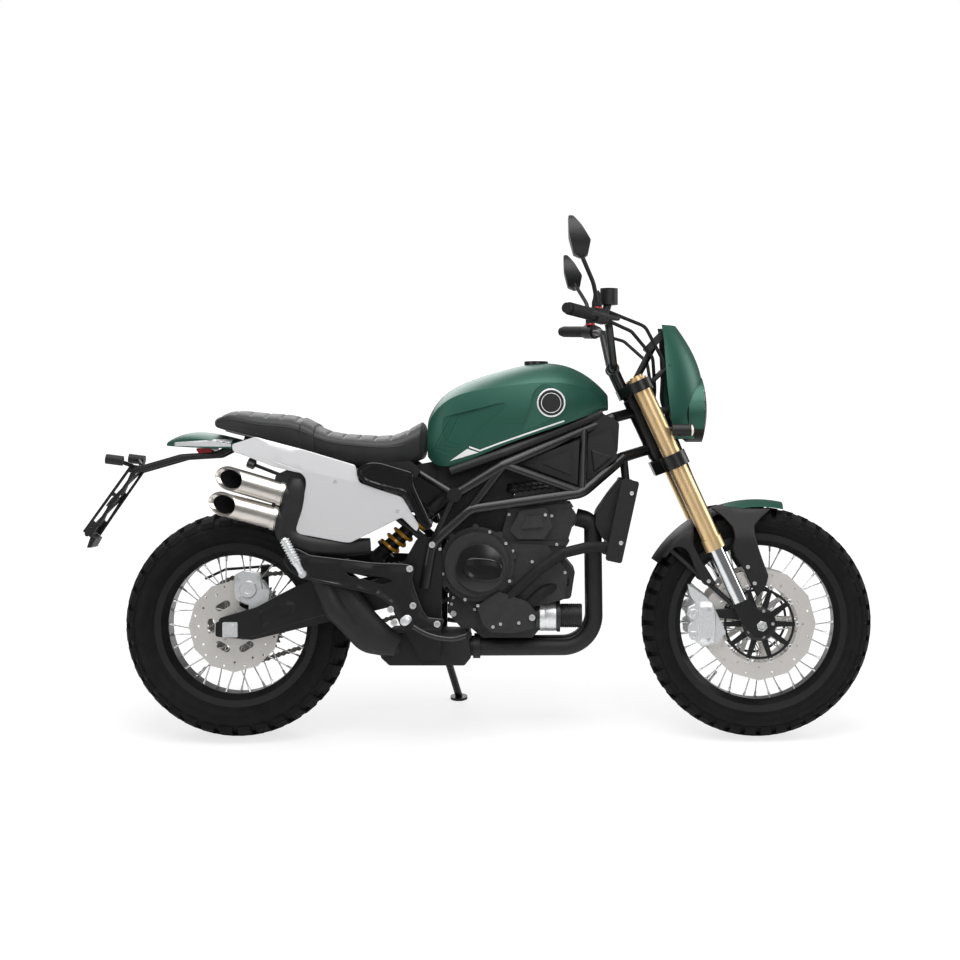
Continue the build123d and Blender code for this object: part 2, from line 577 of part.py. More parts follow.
COVER_STEP = 14.0            # height of each step of the round covers
COVER_BOSSES = 9
BOSS_R = 9.0
OVAL_LONG = 112.0
OVAL_WIDE = 58.0
with BuildPart() as engine_covers:
    # Clutch cover: stepped rings, screw bosses and a bare oval
    clutch = (CLUTCH_X, CLUTCH_Z)
    disc_plate(clutch, CLUTCH_R, -CLUTCH_OUT + 2 * COVER_STEP, -CASE_HALF)
    disc_plate(clutch, CLUTCH_R - 14, -CLUTCH_OUT + COVER_STEP, -CASE_HALF)
    disc_plate((CLUTCH_X + 14, CLUTCH_Z - 10), CLUTCH_R - 38, -CLUTCH_OUT, -CASE_HALF)
    for index in range(COVER_BOSSES):
        a = 2 * pi * (index + 0.3) / COVER_BOSSES
        boss = (CLUTCH_X + CLUTCH_R * cos(a), CLUTCH_Z + CLUTCH_R * sin(a))
        disc_plate(boss, BOSS_R, -CLUTCH_OUT + 2 * COVER_STEP - 3, -CASE_HALF)
    with BuildSketch(Plane.XZ.offset(CLUTCH_OUT)) as oval:
        with Locations((CLUTCH_X + 18, CLUTCH_Z - 12)):
            SlotOverall(OVAL_LONG, OVAL_WIDE, rotation=-8)
    extrude(oval.sketch, amount=5)
    # Side cover behind the pump, the pump and the cover of the camshaft drive
    slab([(760, 560), (880, 556), (940, 480), (930, 402), (800, 372), (720, 376)], -112, -CASE_HALF,
         corner=16)
    slab([(685, 386), (746, 426), (826, 398), (852, 366), (842, 322), (790, 310), (728, 312), (702, 333)],
         -134,
         -CASE_HALF, corner=9)
    slab([(776, 596), (806, 652), (880, 660), (896, 606), (872, 572), (800, 572)], -BLOCK_HALF - 22,
         -BLOCK_HALF,
         corner=8)
    slab([(806, 600), (824, 636), (866, 640), (872, 606)], -BLOCK_HALF - 28, -BLOCK_HALF, corner=5)
    # Alternator cover on the left, in two steps, and the sprocket's cover behind it
    disc_plate((ALTERNATOR_X, ALTERNATOR_Z), ALTERNATOR_R, CASE_HALF, 138)
    disc_plate((ALTERNATOR_X, ALTERNATOR_Z), ALTERNATOR_R - 18, CASE_HALF, 150)
    for index in range(COVER_BOSSES):
        a = 2 * pi * index / COVER_BOSSES
        boss = (ALTERNATOR_X + ALTERNATOR_R * cos(a), ALTERNATOR_Z + ALTERNATOR_R * sin(a))
        disc_plate(boss, BOSS_R, CASE_HALF, 136)
    add(engine.part, mode=Mode.SUBTRACT)
keep(engine_covers, "engine_covers")

# Exhaust: two headers down the front, a collector under the engine and the pipe up to the silencer
HEADER_R = 24.0
COLLECTOR_Y = (-118.0, 62.0)
with BuildPart() as exhaust:
    for y in (-PORT_HALF, PORT_HALF):
        bent_bar([(PORT_X, y, PORT_Z), (1012, y, PORT_Z - 12), (1016, y, 262), (640, y * 0.8 - 22, 262)],
                 HEADER_R, [34, 90])
    slab([(416, 240), (440, 218), (650, 218), (668, 240), (660, 306), (440, 310), (416, 296)], *COLLECTOR_Y,
         corner=9)
    # Clamp bands on the headers, ahead of the collector
    for y in (-PORT_HALF, PORT_HALF):
        bar((672, y * 0.82 - 20, 262), (692, y * 0.82 - 20, 262), HEADER_R + 7)
    bent_bar([(450, -95, 268), (380, -158, 290), (294, -181, 385), (224, -160, 560), (200, -158, 640)],
             31, [50, 80, 80])
    add(engine.part, mode=Mode.SUBTRACT)
keep(exhaust, "exhaust")

# Silencer on the right, with two open tips
SILENCER_Y = (-190.0, -140.0)
TIP_R = 33.0
TIP_BORE = 25.0
TIP_Y = -176.0
TIP_RUNS = (((158, 697), (4, 742)), ((139, 631), (-15, 672)))
with BuildPart() as silencer:
    slab([(136, 578), (120, 640), (134, 752), (176, 771), (222, 740), (222, 600), (190, 572)], *SILENCER_Y,
         corner=12)
    for (x0, z0), (x1, z1) in TIP_RUNS:
        bar((x0 + (x0 - x1) * 0.2, TIP_Y, z0 + (z0 - z1) * 0.2), (x0, TIP_Y, z0), TIP_R + 3)
    add(exhaust.part, mode=Mode.SUBTRACT)
keep(silencer, "silencer")

with BuildPart() as silencer_tips:
    for (x0, z0), (x1, z1) in TIP_RUNS:
        run = Vector(x1 - x0, 0, z1 - z0)
        with Locations(Plane(origin=(x0, TIP_Y, z0), z_dir=run)):
            Cylinder(TIP_R, run.length, align=(Align.CENTER, Align.CENTER, Align.MIN))
        with Locations(Plane(origin=(x0, TIP_Y, z0), z_dir=run).offset(12)):
            Cylinder(TIP_BORE, run.length, align=(Align.CENTER, Align.CENTER, Align.MIN), mode=Mode.SUBTRACT)
    add(silencer.part, mode=Mode.SUBTRACT)
keep(silencer_tips, "silencer_tips")

# Swingarm, with its cross member, chain guard and the axle through its ends
GUARD_Y = (90.0, 113.0)
with BuildPart() as swingarm:
    for side in (-1, 1):
        arm_y = sorted((side * ARM_Y[0], side * ARM_Y[1]))
        slab([(-42, 301), (-42, 341), (60, 356), (330, 440), (470, 476), (560, 470), (570, 420), (480, 392),
              (330, 356), (60, 292)], *arm_y, corner=8)
        # Pivot boss, face to face with the frame's plate
        disc_plate((PIVOT_X, PIVOT_Z), 24, *sorted((side * ARM_Y[0], side * PIVOT_PLATE_Y[0])))
    bar((PIVOT_X, -ARM_Y[0], PIVOT_Z), (PIVOT_X, ARM_Y[0], PIVOT_Z), 20)
    slab([(400, 398), (400, 436), (455, 446), (455, 408)], -ARM_Y[0], ARM_Y[0])
    # Chain guard over the upper run, on two brackets
    slab([(-122, 446), (-62, 474), (300, 501), (300, 495), (-60, 467), (-117, 440)], GUARD_Y[0], GUARD_Y[1])
    for x, foot in ((40, 330), (210, 390)):
        top = 480 + x * 0.07
        slab([(x, foot), (x + 24, foot + 6), (x + 24, top + 2), (x, top)], GUARD_Y[1] - 5, ARM_Y[0] + 2)
    for side in (-1, 1):
        disc_plate(REAR_CENTER, REAR_AXLE_R, *sorted((side * (ARM_Y[0] - 1), side * (ARM_Y[1] + 1))),
                   mode=Mode.SUBTRACT)
        disc_plate((HUGGER_X, HUGGER_Z), HUGGER_R,
                   *sorted((side * (ARM_Y[1] - HUGGER_DEPTH), side * (ARM_Y[1] + 1))),
                   mode=Mode.SUBTRACT)
keep(swingarm, "swingarm")

with BuildPart() as rear_axle:
    disc_plate(REAR_CENTER, REAR_AXLE_R, -ARM_Y[1], ARM_Y[1])
    for side in (-1, 1):
        # Square adjuster blocks outside the arms
        slab([(-21, 300), (21, 300), (21, 342), (-21, 342)],
             *sorted((side * ARM_Y[1], side * (ARM_Y[1] + 9))), corner=4)
        disc_plate(REAR_CENTER, 15, *sorted((side * ARM_Y[1], side * (ARM_Y[1] + 18))))
    # Spacers between the arms and the hub
    disc_plate(REAR_CENTER, 20, REAR_HUB_END + SEAT_GAP, ARM_Y[0])
    disc_plate(REAR_CENTER, 20, -ARM_Y[0], REAR_HUB_SPAN[0] - SEAT_GAP)
keep(rear_axle, "rear_axle")

# Rear shock, laid down on the right, with its coil spring
SHOCK_LOW = (402.0, -78.0, 520.0)
SHOCK_HIGH = (600.0, -78.0, 690.0)
SPRING_R = 26.0
SPRING_WIRE_R = 5.5
SHOCK_R = SPRING_R - SPRING_WIRE_R - SEAT_GAP
SPRING_TURNS = 6
SPRING_LENGTH = 150.0
_shock_run = Vector(*SHOCK_HIGH) - Vector(*SHOCK_LOW)
SHOCK_PLANE = Plane(origin=SHOCK_LOW, z_dir=_shock_run)
SPRING_START = 40.0
with BuildPart() as shock:
    bar(SHOCK_LOW, SHOCK_HIGH, SHOCK_R)
    with Locations(SHOCK_PLANE.offset(SPRING_START - SPRING_WIRE_R - 6), SHOCK_PLANE.offset(
            SPRING_START + SPRING_LENGTH + SPRING_WIRE_R)):
        Cylinder(SPRING_R + SPRING_WIRE_R, 6, align=(Align.CENTER, Align.CENTER, Align.MIN))
    # Eye and link down to the swingarm's cross member
    bar((SHOCK_LOW[0], SHOCK_LOW[1] - 16, SHOCK_LOW[2]), (SHOCK_LOW[0], SHOCK_LOW[1] + 16, SHOCK_LOW[2]), 18)
    slab([(386, 520), (418, 520), (440, 436), (410, 432)], SHOCK_LOW[1] - 8, SHOCK_LOW[1] + 8)
    add(swingarm.part, mode=Mode.SUBTRACT)
    add(frame.part, mode=Mode.SUBTRACT)
keep(shock, "shock")

with BuildPart() as shock_spring:
    with BuildLine() as coil:
        Helix(SPRING_LENGTH / SPRING_TURNS, SPRING_LENGTH, SPRING_R,
              center=SHOCK_PLANE.offset(SPRING_START).origin,
              direction=SHOCK_PLANE.z_dir)
    coil_path = coil.wires()[0]
    with BuildSketch(Plane(origin=coil_path @ 0, z_dir=coil_path % 0)) as wire_section:
        RegularPolygon(SPRING_WIRE_R, 8)
    sweep(wire_section.sketch, path=coil_path, is_frenet=True)
keep(shock_spring, "shock_spring")

# Chain: two runs and the wraps round both sprockets, plain links in one loop
DRIVE_CENTERS = (Vector(0, REAR_AXLE_Z), Vector(FRONT_SPROCKET_X, FRONT_SPROCKET_Z))


def chain_loop(rear_r, front_r):
    """Outline of a belt round the two sprockets, as the faces of a sketch."""
    rear, front = DRIVE_CENTERS
    run = front - rear
    slope = atan2(run.Y, run.X)
    spread = asin((rear_r - front_r) / run.length)
    up = slope + pi / 2 - spread
    down = slope - pi / 2 + spread

    def on(center, r, a):
        return (center.X + r * cos(a), center.Y + r * sin(a))

    Line(on(rear, rear_r, up), on(front, front_r, up))
    ThreePointArc(on(front, front_r, up), on(front, front_r, slope), on(front, front_r, down))
    Line(on(front, front_r, down), on(rear, rear_r, down))
    ThreePointArc(on(rear, rear_r, down), on(rear, rear_r, slope + pi), on(rear, rear_r, up))


# The rollers run just outside the teeth, so that the wheel turns freely inside the chain
CHAIN_IN = CHAIN_PITCH * 0.2 + CHAIN_GAP
with BuildLine() as pin_line:
    chain_loop(REAR_PITCH_R + CHAIN_IN + CHAIN_H / 2, FRONT_PITCH_R + CHAIN_IN + CHAIN_H / 2)
pin_path = pin_line.wires()[0]
LINK_COUNT = 2 * round(pin_path.length / CHAIN_PITCH / 2)


def link_edge(side):
    """Upper or lower edge of the links: wide at the pins, waisted between them."""
    points = []
    for step in range(2 * LINK_COUNT):
        at = pin_path @ (step / (2 * LINK_COUNT))
        along = pin_path % (step / (2 * LINK_COUNT))
        reach = side * CHAIN_H / 2 * (LINK_WAIST if step % 2 else 1)
        points.append((at.X - along.Y * reach, at.Y + along.X * reach))
    return points


with BuildPart() as chain:
    for y_high in (CHAIN_Y + CHAIN_W / 2, CHAIN_Y - CHAIN_W / 2 + LINK_T):
        with BuildSketch(Plane.XZ.offset(-y_high)) as plates:
            with BuildLine():
                Polyline(*link_edge(1), close=True)
            make_face()
            with BuildLine():
                Polyline(*link_edge(-1), close=True)
            make_face(mode=Mode.SUBTRACT)
        extrude(plates.sketch, amount=LINK_T)
    with BuildSketch(Plane.XZ.offset(-CHAIN_Y - CHAIN_W / 2 + LINK_T)) as rollers:
        with Locations(*[tuple(pin_path @ (index / LINK_COUNT))[:2] for index in range(LINK_COUNT)]):
            RegularPolygon(ROLLER_R, ROLLER_SIDES)
    extrude(rollers.sketch, amount=CHAIN_W - 2 * LINK_T)
keep(chain, "chain")

# The rollers lie in the drive sprocket's pockets
with BuildPart() as drive_sprocket:
    disc_plate((FRONT_SPROCKET_X, FRONT_SPROCKET_Z), FRONT_PITCH_R + CHAIN_IN + CHAIN_H / 2, *SPROCKET_Y)
    disc_plate((FRONT_SPROCKET_X, FRONT_SPROCKET_Z), 18, CASE_HALF, SPROCKET_Y[1] + 6)
    add(frame.part, mode=Mode.SUBTRACT)
    add(chain.part, mode=Mode.SUBTRACT)
keep(drive_sprocket, "drive_sprocket")

# Radiator with side covers and fan, hung from the head lugs
RADIATOR_HALF = 132.0
CORE_WIDE = 236.0
CORE_HIGH = 176.0
CORE_DEPTH = 9.0
LOUVRES = 12
LOUVRE_T = 3.0
CORE_FACE = Plane(origin=(1107.5, 0, 618.5), x_dir=(0, 1, 0), z_dir=(209, 0, -47))
with BuildPart() as radiator:
    slab([(1131, 723), (1084, 514), (1045, 523), (1092, 732)], -RADIATOR_HALF, RADIATOR_HALF, corner=5)
    for side in (-1, 1):
        slab([(1138, 732), (1088, 504), (1042, 514), (1090, 742)],
             *sorted((side * RADIATOR_HALF, side * (RADIATOR_HALF + 10))), corner=8)
        bar((1108, side * 50, 722), (1101, side * 50, 792), 9)
    # Core behind a row of louvres, in the front face
    for step in range(LOUVRES + 1):
        with Locations(CORE_FACE.location * Pos(0, CORE_HIGH * (step / LOUVRES - 0.5), 0)):
            Box(CORE_WIDE, CORE_HIGH / LOUVRES - LOUVRE_T, CORE_DEPTH,
                align=(Align.CENTER, Align.CENTER, Align.MAX),
                mode=Mode.SUBTRACT)
    with Locations(Plane(origin=(1086, 0, 650), z_dir=(-209, 0, 47))):
        Cylinder(78, 22, align=(Align.CENTER, Align.CENTER, Align.MIN))
    add(frame.part, mode=Mode.SUBTRACT)
keep(radiator, "radiator")

HOSE_R = 15.0
with BuildPart() as coolant_hoses:
    bent_bar([(768, -118, 404), (858, -138, 488), (925, -140, 534), (1000, -140, 552), (1064, -118, 548)],
             HOSE_R,
             [40, 40, 60])
    bent_bar([(812, -112, 372), (866, -122, 424), (936, -76, 452)], HOSE_R, [40])
    add(engine.part, mode=Mode.SUBTRACT)
    add(engine_covers.part, mode=Mode.SUBTRACT)
    add(radiator.part, mode=Mode.SUBTRACT)
    add(frame.part, mode=Mode.SUBTRACT)
keep(coolant_hoses, "coolant_hoses")

# Fuel tank: stations along X from the saddle to the steering head
TANK_STATIONS = (
    (545, 802, 888, 915, 84, 90),
    (608, 776, 962, 992, 114, 124),
    (746, 828, 996, 1046, 130, 138),
    (880, 876, 1009, 1069, 124, 131),
    (976, 910, 998, 1044, 98, 104),
    (1054, 934, 956, 978, 50, 54),
)
TANK_BULGE = 10.0
CAP_X = 850.0
CAP_R = 34.0
# Shallow recesses in the sides: for the knee, and a bay open below round a bare disc
KNEE_OUTLINE = [(590, 912), (772, 956), (758, 930), (684, 872), (668, 850), (618, 818), (572, 836)]
BADGE_X = 892.0
BADGE_Z = 952.0
BADGE_R = 40.0
BAY_R = 57.0
RELIEF_DEPTH = 5.0
KNEE_FACE = Plane(origin=(680, -139.0 + RELIEF_DEPTH, 880), x_dir=(1, -0.115, 0), z_dir=(-0.115, -1, 0))
BAY_FACE = Plane(origin=(BADGE_X, -136.0 + RELIEF_DEPTH, BADGE_Z), x_dir=(1, 0.07, 0), z_dir=(0.07, -1, 0))
with BuildPart() as tank_reliefs:
    with BuildSketch(KNEE_FACE) as knee:
        with BuildLine():
            Polyline(*[(x - KNEE_FACE.origin.X, z - KNEE_FACE.origin.Z) for x, z in KNEE_OUTLINE], close=True)
        make_face()
        fillet(knee.vertices(), 7)
    extrude(knee.sketch, amount=4 * RELIEF_DEPTH)
    with BuildSketch(BAY_FACE) as bay:
        Circle(BAY_R)
        Polygon((-BAY_R, 0), (BAY_R, 0), (BAY_R - 22, -110), (-BAY_R - 40, -130), align=None)
    extrude(bay.sketch, amount=4 * RELIEF_DEPTH)
    mirror(about=Plane.XZ)

with BuildPart() as fuel_tank:
    dome_loft(TANK_STATIONS, TANK_BULGE)
    add(tank_reliefs.part, mode=Mode.SUBTRACT)
    for side in (-1, 1):
        with Locations(Plane(origin=(BADGE_X, side * abs(BAY_FACE.origin.Y), BADGE_Z),
                             z_dir=(0.07, side, 0))):
            Cylinder(BADGE_R, RELIEF_DEPTH, align=(Align.CENTER, Align.CENTER, Align.CENTER))
keep(fuel_tank, "fuel_tank")

with BuildPart() as fuel_cap:
    with Locations((CAP_X, 0, 1050)):
        Cylinder(CAP_R, 24, align=(Align.CENTER, Align.CENTER, Align.MIN))
    add(fuel_tank.part, mode=Mode.SUBTRACT)
keep(fuel_cap, "fuel_cap")

with BuildPart() as tank_trim:
    for side in (-1, 1):
        bent_bar([(1036, side * 66, 924), (761, side * 130, 812), (612, side * 122, 760)], 14, [60])
        # Infill panels between the tubes
        slab([(800, 784), (972, 850), (966, 722)], *sorted((side * 104, side * 110)))
        slab([(862, 786), (950, 822), (948, 750)], *sorted((side * 104, side * 115)), corner=4)
        slab([(996, 852), (1060, 880), (1080, 800), (992, 726)], *sorted((side * 84, side * 90)))
    add(fuel_tank.part, mode=Mode.SUBTRACT)
    add(frame.part, mode=Mode.SUBTRACT)
keep(tank_trim, "tank_trim")

# Saddle: one plain cushion over the rails
SADDLE_STATIONS = (
    (-64, 888, 898, 908, 70, 78),
    (-10, 872, 905, 931, 92, 100),
    (80, 850, 890, 926, 104, 112),
    (172, 822, 880, 916, 110, 118),
    (262, 794, 845, 876, 116, 124),
    (350, 776, 832, 864, 124, 134),
    (450, 772, 828, 866, 112, 122),
    (538, 800, 850, 908, 70, 78),
)
with BuildPart() as saddle:
    dome_loft(SADDLE_STATIONS)
    add(frame.part, mode=Mode.SUBTRACT)
keep(saddle, "saddle")

with BuildPart() as side_covers:
    for side in (-1, 1):
        slab([(336, 735), (372, 782), (500, 790), (531, 765), (500, 715), (380, 706)],
             *sorted((side * 123.5, side * 152)), corner=14)
    add(frame.part, mode=Mode.SUBTRACT)
    add(saddle.part, mode=Mode.SUBTRACT)
keep(side_covers, "side_covers")

# Side plates, blank, on stays from the rails
PLATE_Y = (195.0, 199.0)
PLATE_OUTLINE = [(6, 840), (359, 775), (485, 690), (526, 607), (444, 629), (325, 566), (188, 598), (227, 736),
                 (120, 772), (15, 806)]
with BuildPart() as side_plates:
    for side in (-1, 1):
        slab(PLATE_OUTLINE, *sorted((side * PLATE_Y[0], side * PLATE_Y[1])), corner=9)
        bar((300, side * 108, 764), (300, side * PLATE_Y[0], 764), 8)
        bar((80, side * 84, 836), (80, side * PLATE_Y[0], 806), 8)
        bar((470, side * 120, 632), (470, side * PLATE_Y[0], 664), 8)
    add(frame.part, mode=Mode.SUBTRACT)
    add(side_covers.part, mode=Mode.SUBTRACT)
    add(saddle.part, mode=Mode.SUBTRACT)
    add(silencer.part, mode=Mode.SUBTRACT)
keep(side_plates, "side_plates")

# Tail cowl, lamp and the hanger of the number plate
with BuildPart() as tail_cowl:
    dome_loft(((-201, 832, 838, 846, 36, 38), (-86, 826, 850, 870, 70, 76), (0, 826, 838, 852, 86, 90),
               (44, 828, 836, 842, 88, 92)))
    add(frame.part, mode=Mode.SUBTRACT)
    add(saddle.part, mode=Mode.SUBTRACT)
keep(tail_cowl, "tail_cowl")

with BuildPart() as tail_lamp:
    slab([(-118, 826), (-70, 826), (-70, 806), (-108, 812)], -52, 52, corner=4)
    add(tail_cowl.part, mode=Mode.SUBTRACT)
keep(tail_lamp, "tail_lamp")

HANGER_HALF = 52.0
PLATE_BOLT_R = 3.2
PLATE_BOLT_Y = 30.0
PLATE_STRAP_T = 4.0
# The strap that the number plate bolts to: its Z points away from the machine, its X to the left
PLATE_SEAT = Plane(origin=(-363, 0, 673), x_dir=(0, 1, 0), z_dir=(-0.802, 0, 0.597))
with BuildPart() as plate_hanger:
    for side in (-1, 1):
        bent_bar([(-20, side * 48, 826), (-60, side * 48, 806), (-158, side * 48, 800),
                  (-290, side * 48, 762)], 9,
                 [20, 60])
        slab([(-276, 776), (-300, 780), (-436, 590), (-414, 572)],
             *sorted((side * (HANGER_HALF - 5), side * HANGER_HALF)))
        slab([(-298, 756), (-312, 758), (-352, 704), (-334, 690)],
             *sorted((side * (HANGER_HALF - 6), side * (HANGER_HALF + 1))), mode=Mode.SUBTRACT)
        slab([(-346, 690), (-362, 690), (-408, 622), (-396, 612)],
             *sorted((side * (HANGER_HALF - 6), side * (HANGER_HALF + 1))), mode=Mode.SUBTRACT)
        # Rear indicators on stalks
        bar((-296, side * HANGER_HALF, 776), (-322, side * 118, 792), 6)
        bar((-350, side * 122, 796), (-304, side * 122, 790), 14)
    bar((-290, -HANGER_HALF, 768), (-290, HANGER_HALF, 768), 8)
    bar((-424, -HANGER_HALF, 582), (-424, HANGER_HALF, 582), 7)
    with Locations(PLATE_SEAT):
        Box(2 * HANGER_HALF, 26, PLATE_STRAP_T, align=(Align.CENTER, Align.CENTER, Align.MAX))
    with Locations(*[PLATE_SEAT.location * Pos(side * PLATE_BOLT_Y, 0, 0) for side in (-1, 1)]):
        Cylinder(PLATE_BOLT_R, 4 * PLATE_STRAP_T, mode=Mode.SUBTRACT)
    # Reflector
    slab([(-430, 542), (-418, 542), (-404, 568), (-418, 578)], -34, 34)
    add(frame.part, mode=Mode.SUBTRACT)
    add(tail_cowl.part, mode=Mode.SUBTRACT)
    add(tail_lamp.part, mode=Mode.SUBTRACT)
keep(plate_hanger, "plate_hanger")

# Footrest plates with their slots, the footrests, the pedal and the gear lever
REST_PLATE_Y = (203.0, 215.0)
with BuildPart() as footrest_plates:
    for side in (-1, 1):
        span = sorted((side * REST_PLATE_Y[0], side * REST_PLATE_Y[1]))
        slab([(168, 532), (200, 540), (494, 508), (530, 480), (522, 330), (500, 282), (478, 300), (402, 420),
              (207, 440)], *span, corner=8)
        slab([(215, 505), (330, 492), (350, 452), (225, 462)], span[0] - 1, span[1] + 1, mode=Mode.SUBTRACT)
        slab([(352, 488), (440, 478), (440, 434), (372, 446)], span[0] - 1, span[1] + 1, mode=Mode.SUBTRACT)
        for point in ((505, 470), (505, 345)):
            bar((point[0], side * PIVOT_PLATE_Y[1], point[1]), (point[0], side * REST_PLATE_Y[0], point[1]),
                11)
    add(exhaust.part, mode=Mode.SUBTRACT)
keep(footrest_plates, "footrest_plates")

with BuildPart() as foot_controls:
    for side in (-1, 1):
        bar((494, side * REST_PLATE_Y[1], 364), (494, side * 300, 372), 12)
        bar((172, side * (REST_PLATE_Y[1] + 12), 500), (108, side * (REST_PLATE_Y[1] + 12), 590), 11)
        bar((178, side * REST_PLATE_Y[1], 512), (178, side * (REST_PLATE_Y[1] + 14), 512), 9)
        bent_bar([(505, side * (REST_PLATE_Y[1] + 7), 315), (600, side * 226, 300), (668, side * 226, 318)],
                 7, [60])
        bar((668, side * 226, 318), (668, side * 272, 318), 8)
        bar((505, side * REST_PLATE_Y[1], 315), (505, side * (REST_PLATE_Y[1] + 14), 315), 11)
    add(footrest_plates.part, mode=Mode.SUBTRACT)
keep(foot_controls, "foot_controls")

# Rear brake caliper over the disc, on a bracket inside the right arm
CALIPER_GAP = 5.0
PISTON_R = 17.0
with BuildPart() as rear_caliper:
    slab([(8, 420), (30, 462), (82, 452), (104, 414), (74, 376), (30, 388)], REAR_DISC_SPAN[0] - 18,
         REAR_DISC_SPAN[1] + 16, corner=6)
    disc_plate(REAR_CENTER, REAR_DISC_R + CALIPER_GAP, REAR_DISC_SPAN[0] - CALIPER_GAP,
               REAR_DISC_SPAN[1] + CALIPER_GAP, mode=Mode.SUBTRACT)
    slab([(40, 336), (96, 350), (104, 430), (52, 430)], -ARM_Y[0], REAR_DISC_SPAN[0] - 16, corner=5)
    disc_plate((54, 420), PISTON_R, REAR_DISC_SPAN[0] - 26, REAR_DISC_SPAN[0] - 16)
keep(rear_caliper, "rear_caliper")

# Steering: yokes and stem
CLAMP_R = OUTER_TUBE_R + CLAMP_WALL
STEM_BOSS = 34.0
with BuildPart() as yokes:
    for z_low, z_high in (LOWER_CLAMP, UPPER_CLAMP):
        with BuildSketch(FORK.offset(z_low)) as clamp:
            for side in (-1, 1):
                with Locations((LEG_OFFSET, side * FORK_HALF)):
                    Circle(CLAMP_R)
            Polygon((-STEM_BOSS, -46), (LEG_OFFSET - 26, -FORK_HALF), (LEG_OFFSET + 28, -FORK_HALF),
                    (STEM_BOSS, -46),
                    (STEM_BOSS, 46), (LEG_OFFSET + 28, FORK_HALF), (LEG_OFFSET - 26, FORK_HALF),
                    (-STEM_BOSS, 46),
                    align=None)
            for side in (-1, 1):
                with Locations((LEG_OFFSET, side * FORK_HALF)):
                    Circle(OUTER_TUBE_R, mode=Mode.SUBTRACT)
        extrude(clamp.sketch, amount=z_high - z_low)
    fork_cylinder(0, 0, LOWER_CLAMP[0], UPPER_CLAMP[1] + 6, STEM_R)
    fork_cylinder(0, 0, UPPER_CLAMP[1], UPPER_CLAMP[1] + 8, STEM_R + 6)
    # Bearing collars above and below the head tube
    fork_cylinder(0, 0, LOWER_CLAMP[1], HEAD_LOW - SEAT_GAP, HEAD_TUBE_R - 3)
    fork_cylinder(0, 0, HEAD_HIGH + SEAT_GAP, UPPER_CLAMP[0], HEAD_TUBE_R - 3)
keep(yokes, "yokes")

with BuildPart() as fork_tubes:
    for side in (-1, 1):
        fork_cylinder(LEG_OFFSET, side * FORK_HALF, OUTER_TUBE_LOW, UPPER_CLAMP[1] + 6, OUTER_TUBE_R)
        fork_cylinder(LEG_OFFSET, side * FORK_HALF, UPPER_CLAMP[1] + 6, UPPER_CLAMP[1] + 14, OUTER_TUBE_R - 7)
        # Wider lower end, below the clamp
        fork_cylinder(LEG_OFFSET, side * FORK_HALF, OUTER_TUBE_LOW, OUTER_TUBE_LOW + 34, OUTER_TUBE_R + 3)
keep(fork_tubes, "fork_tubes")

with BuildPart() as fork_sliders:
    for side in (-1, 1):
        fork_cylinder(LEG_OFFSET, side * FORK_HALF, FOOT_TOP, OUTER_TUBE_LOW, SLIDER_R)
keep(fork_sliders, "fork_sliders")

FOOT_Y = (84.0, 128.0)
with BuildPart() as fork_feet:
    for side in (-1, 1):
        span = sorted((side * FOOT_Y[0], side * FOOT_Y[1]))
        slab([(4, FOOT_TOP), (52, FOOT_TOP), (64, 40), (78, 12), (76, -18), (40, -30), (20, -20), (6, 20)],
             *span,
             corner=7, view=FORK_SIDE)
        # Lugs that carry the caliper
        slab([(-44, 92), (-44, 66), (10, 34), (10, 70)], *sorted((side * FOOT_Y[0], side * (FOOT_Y[0] + 10))),
             view=FORK_SIDE)
        disc_plate(FRONT_CENTER, FRONT_AXLE_R, span[0] - 1, span[1] + 1, mode=Mode.SUBTRACT)
keep(fork_feet, "fork_feet")

with BuildPart() as front_axle:
    disc_plate(FRONT_CENTER, FRONT_AXLE_R, -FOOT_Y[1] - 6, FOOT_Y[1] + 6)
    disc_plate(FRONT_CENTER, FRONT_AXLE_R - 5, -FOOT_Y[1] - 7, -FOOT_Y[1] + 20, mode=Mode.SUBTRACT)
    disc_plate(FRONT_CENTER, FRONT_AXLE_R + 6, FRONT_HUB_HALF + SEAT_GAP, FOOT_Y[0])
    disc_plate(FRONT_CENTER, FRONT_AXLE_R + 6, -FOOT_Y[0], -FRONT_HUB_HALF - SEAT_GAP)
keep(front_axle, "front_axle")

with BuildPart() as front_calipers:
    for side in (-1, 1):
        slab([(-124, 18), (-118, 116), (-84, 138), (-44, 118), (-44, 20), (-80, 0)],
             *sorted((side * (FRONT_DISC_IN - 16), side * (FRONT_DISC_IN + DISC_T + 18))), corner=8,
             view=FORK_SIDE)
        disc_plate(FRONT_CENTER, FRONT_DISC_R + CALIPER_GAP, *sorted(
            (side * (FRONT_DISC_IN - CALIPER_GAP), side * (FRONT_DISC_IN + DISC_T + CALIPER_GAP))),
                   mode=Mode.SUBTRACT)
        piston_y = side * (FRONT_DISC_IN + DISC_T + 16)
        for z in (42, 92):
            bar(in_fork(-82, piston_y, z), in_fork(-82, piston_y + side * 8, z), PISTON_R)
    add(fork_feet.part, mode=Mode.SUBTRACT)
keep(front_calipers, "front_calipers")

# Front fender: a black body behind and a painted blade ahead, round the tyre
FENDER_R = FRONT_TYRE_R + 22.0
FENDER_HALF = 66.0
FENDER_T = 4.0
FENDER_DROP = 20.0
FENDER_SPLIT = 106.0         # angle round the axle, from straight ahead
FENDER_REAR = 149.0
FENDER_FRONT = 78.0


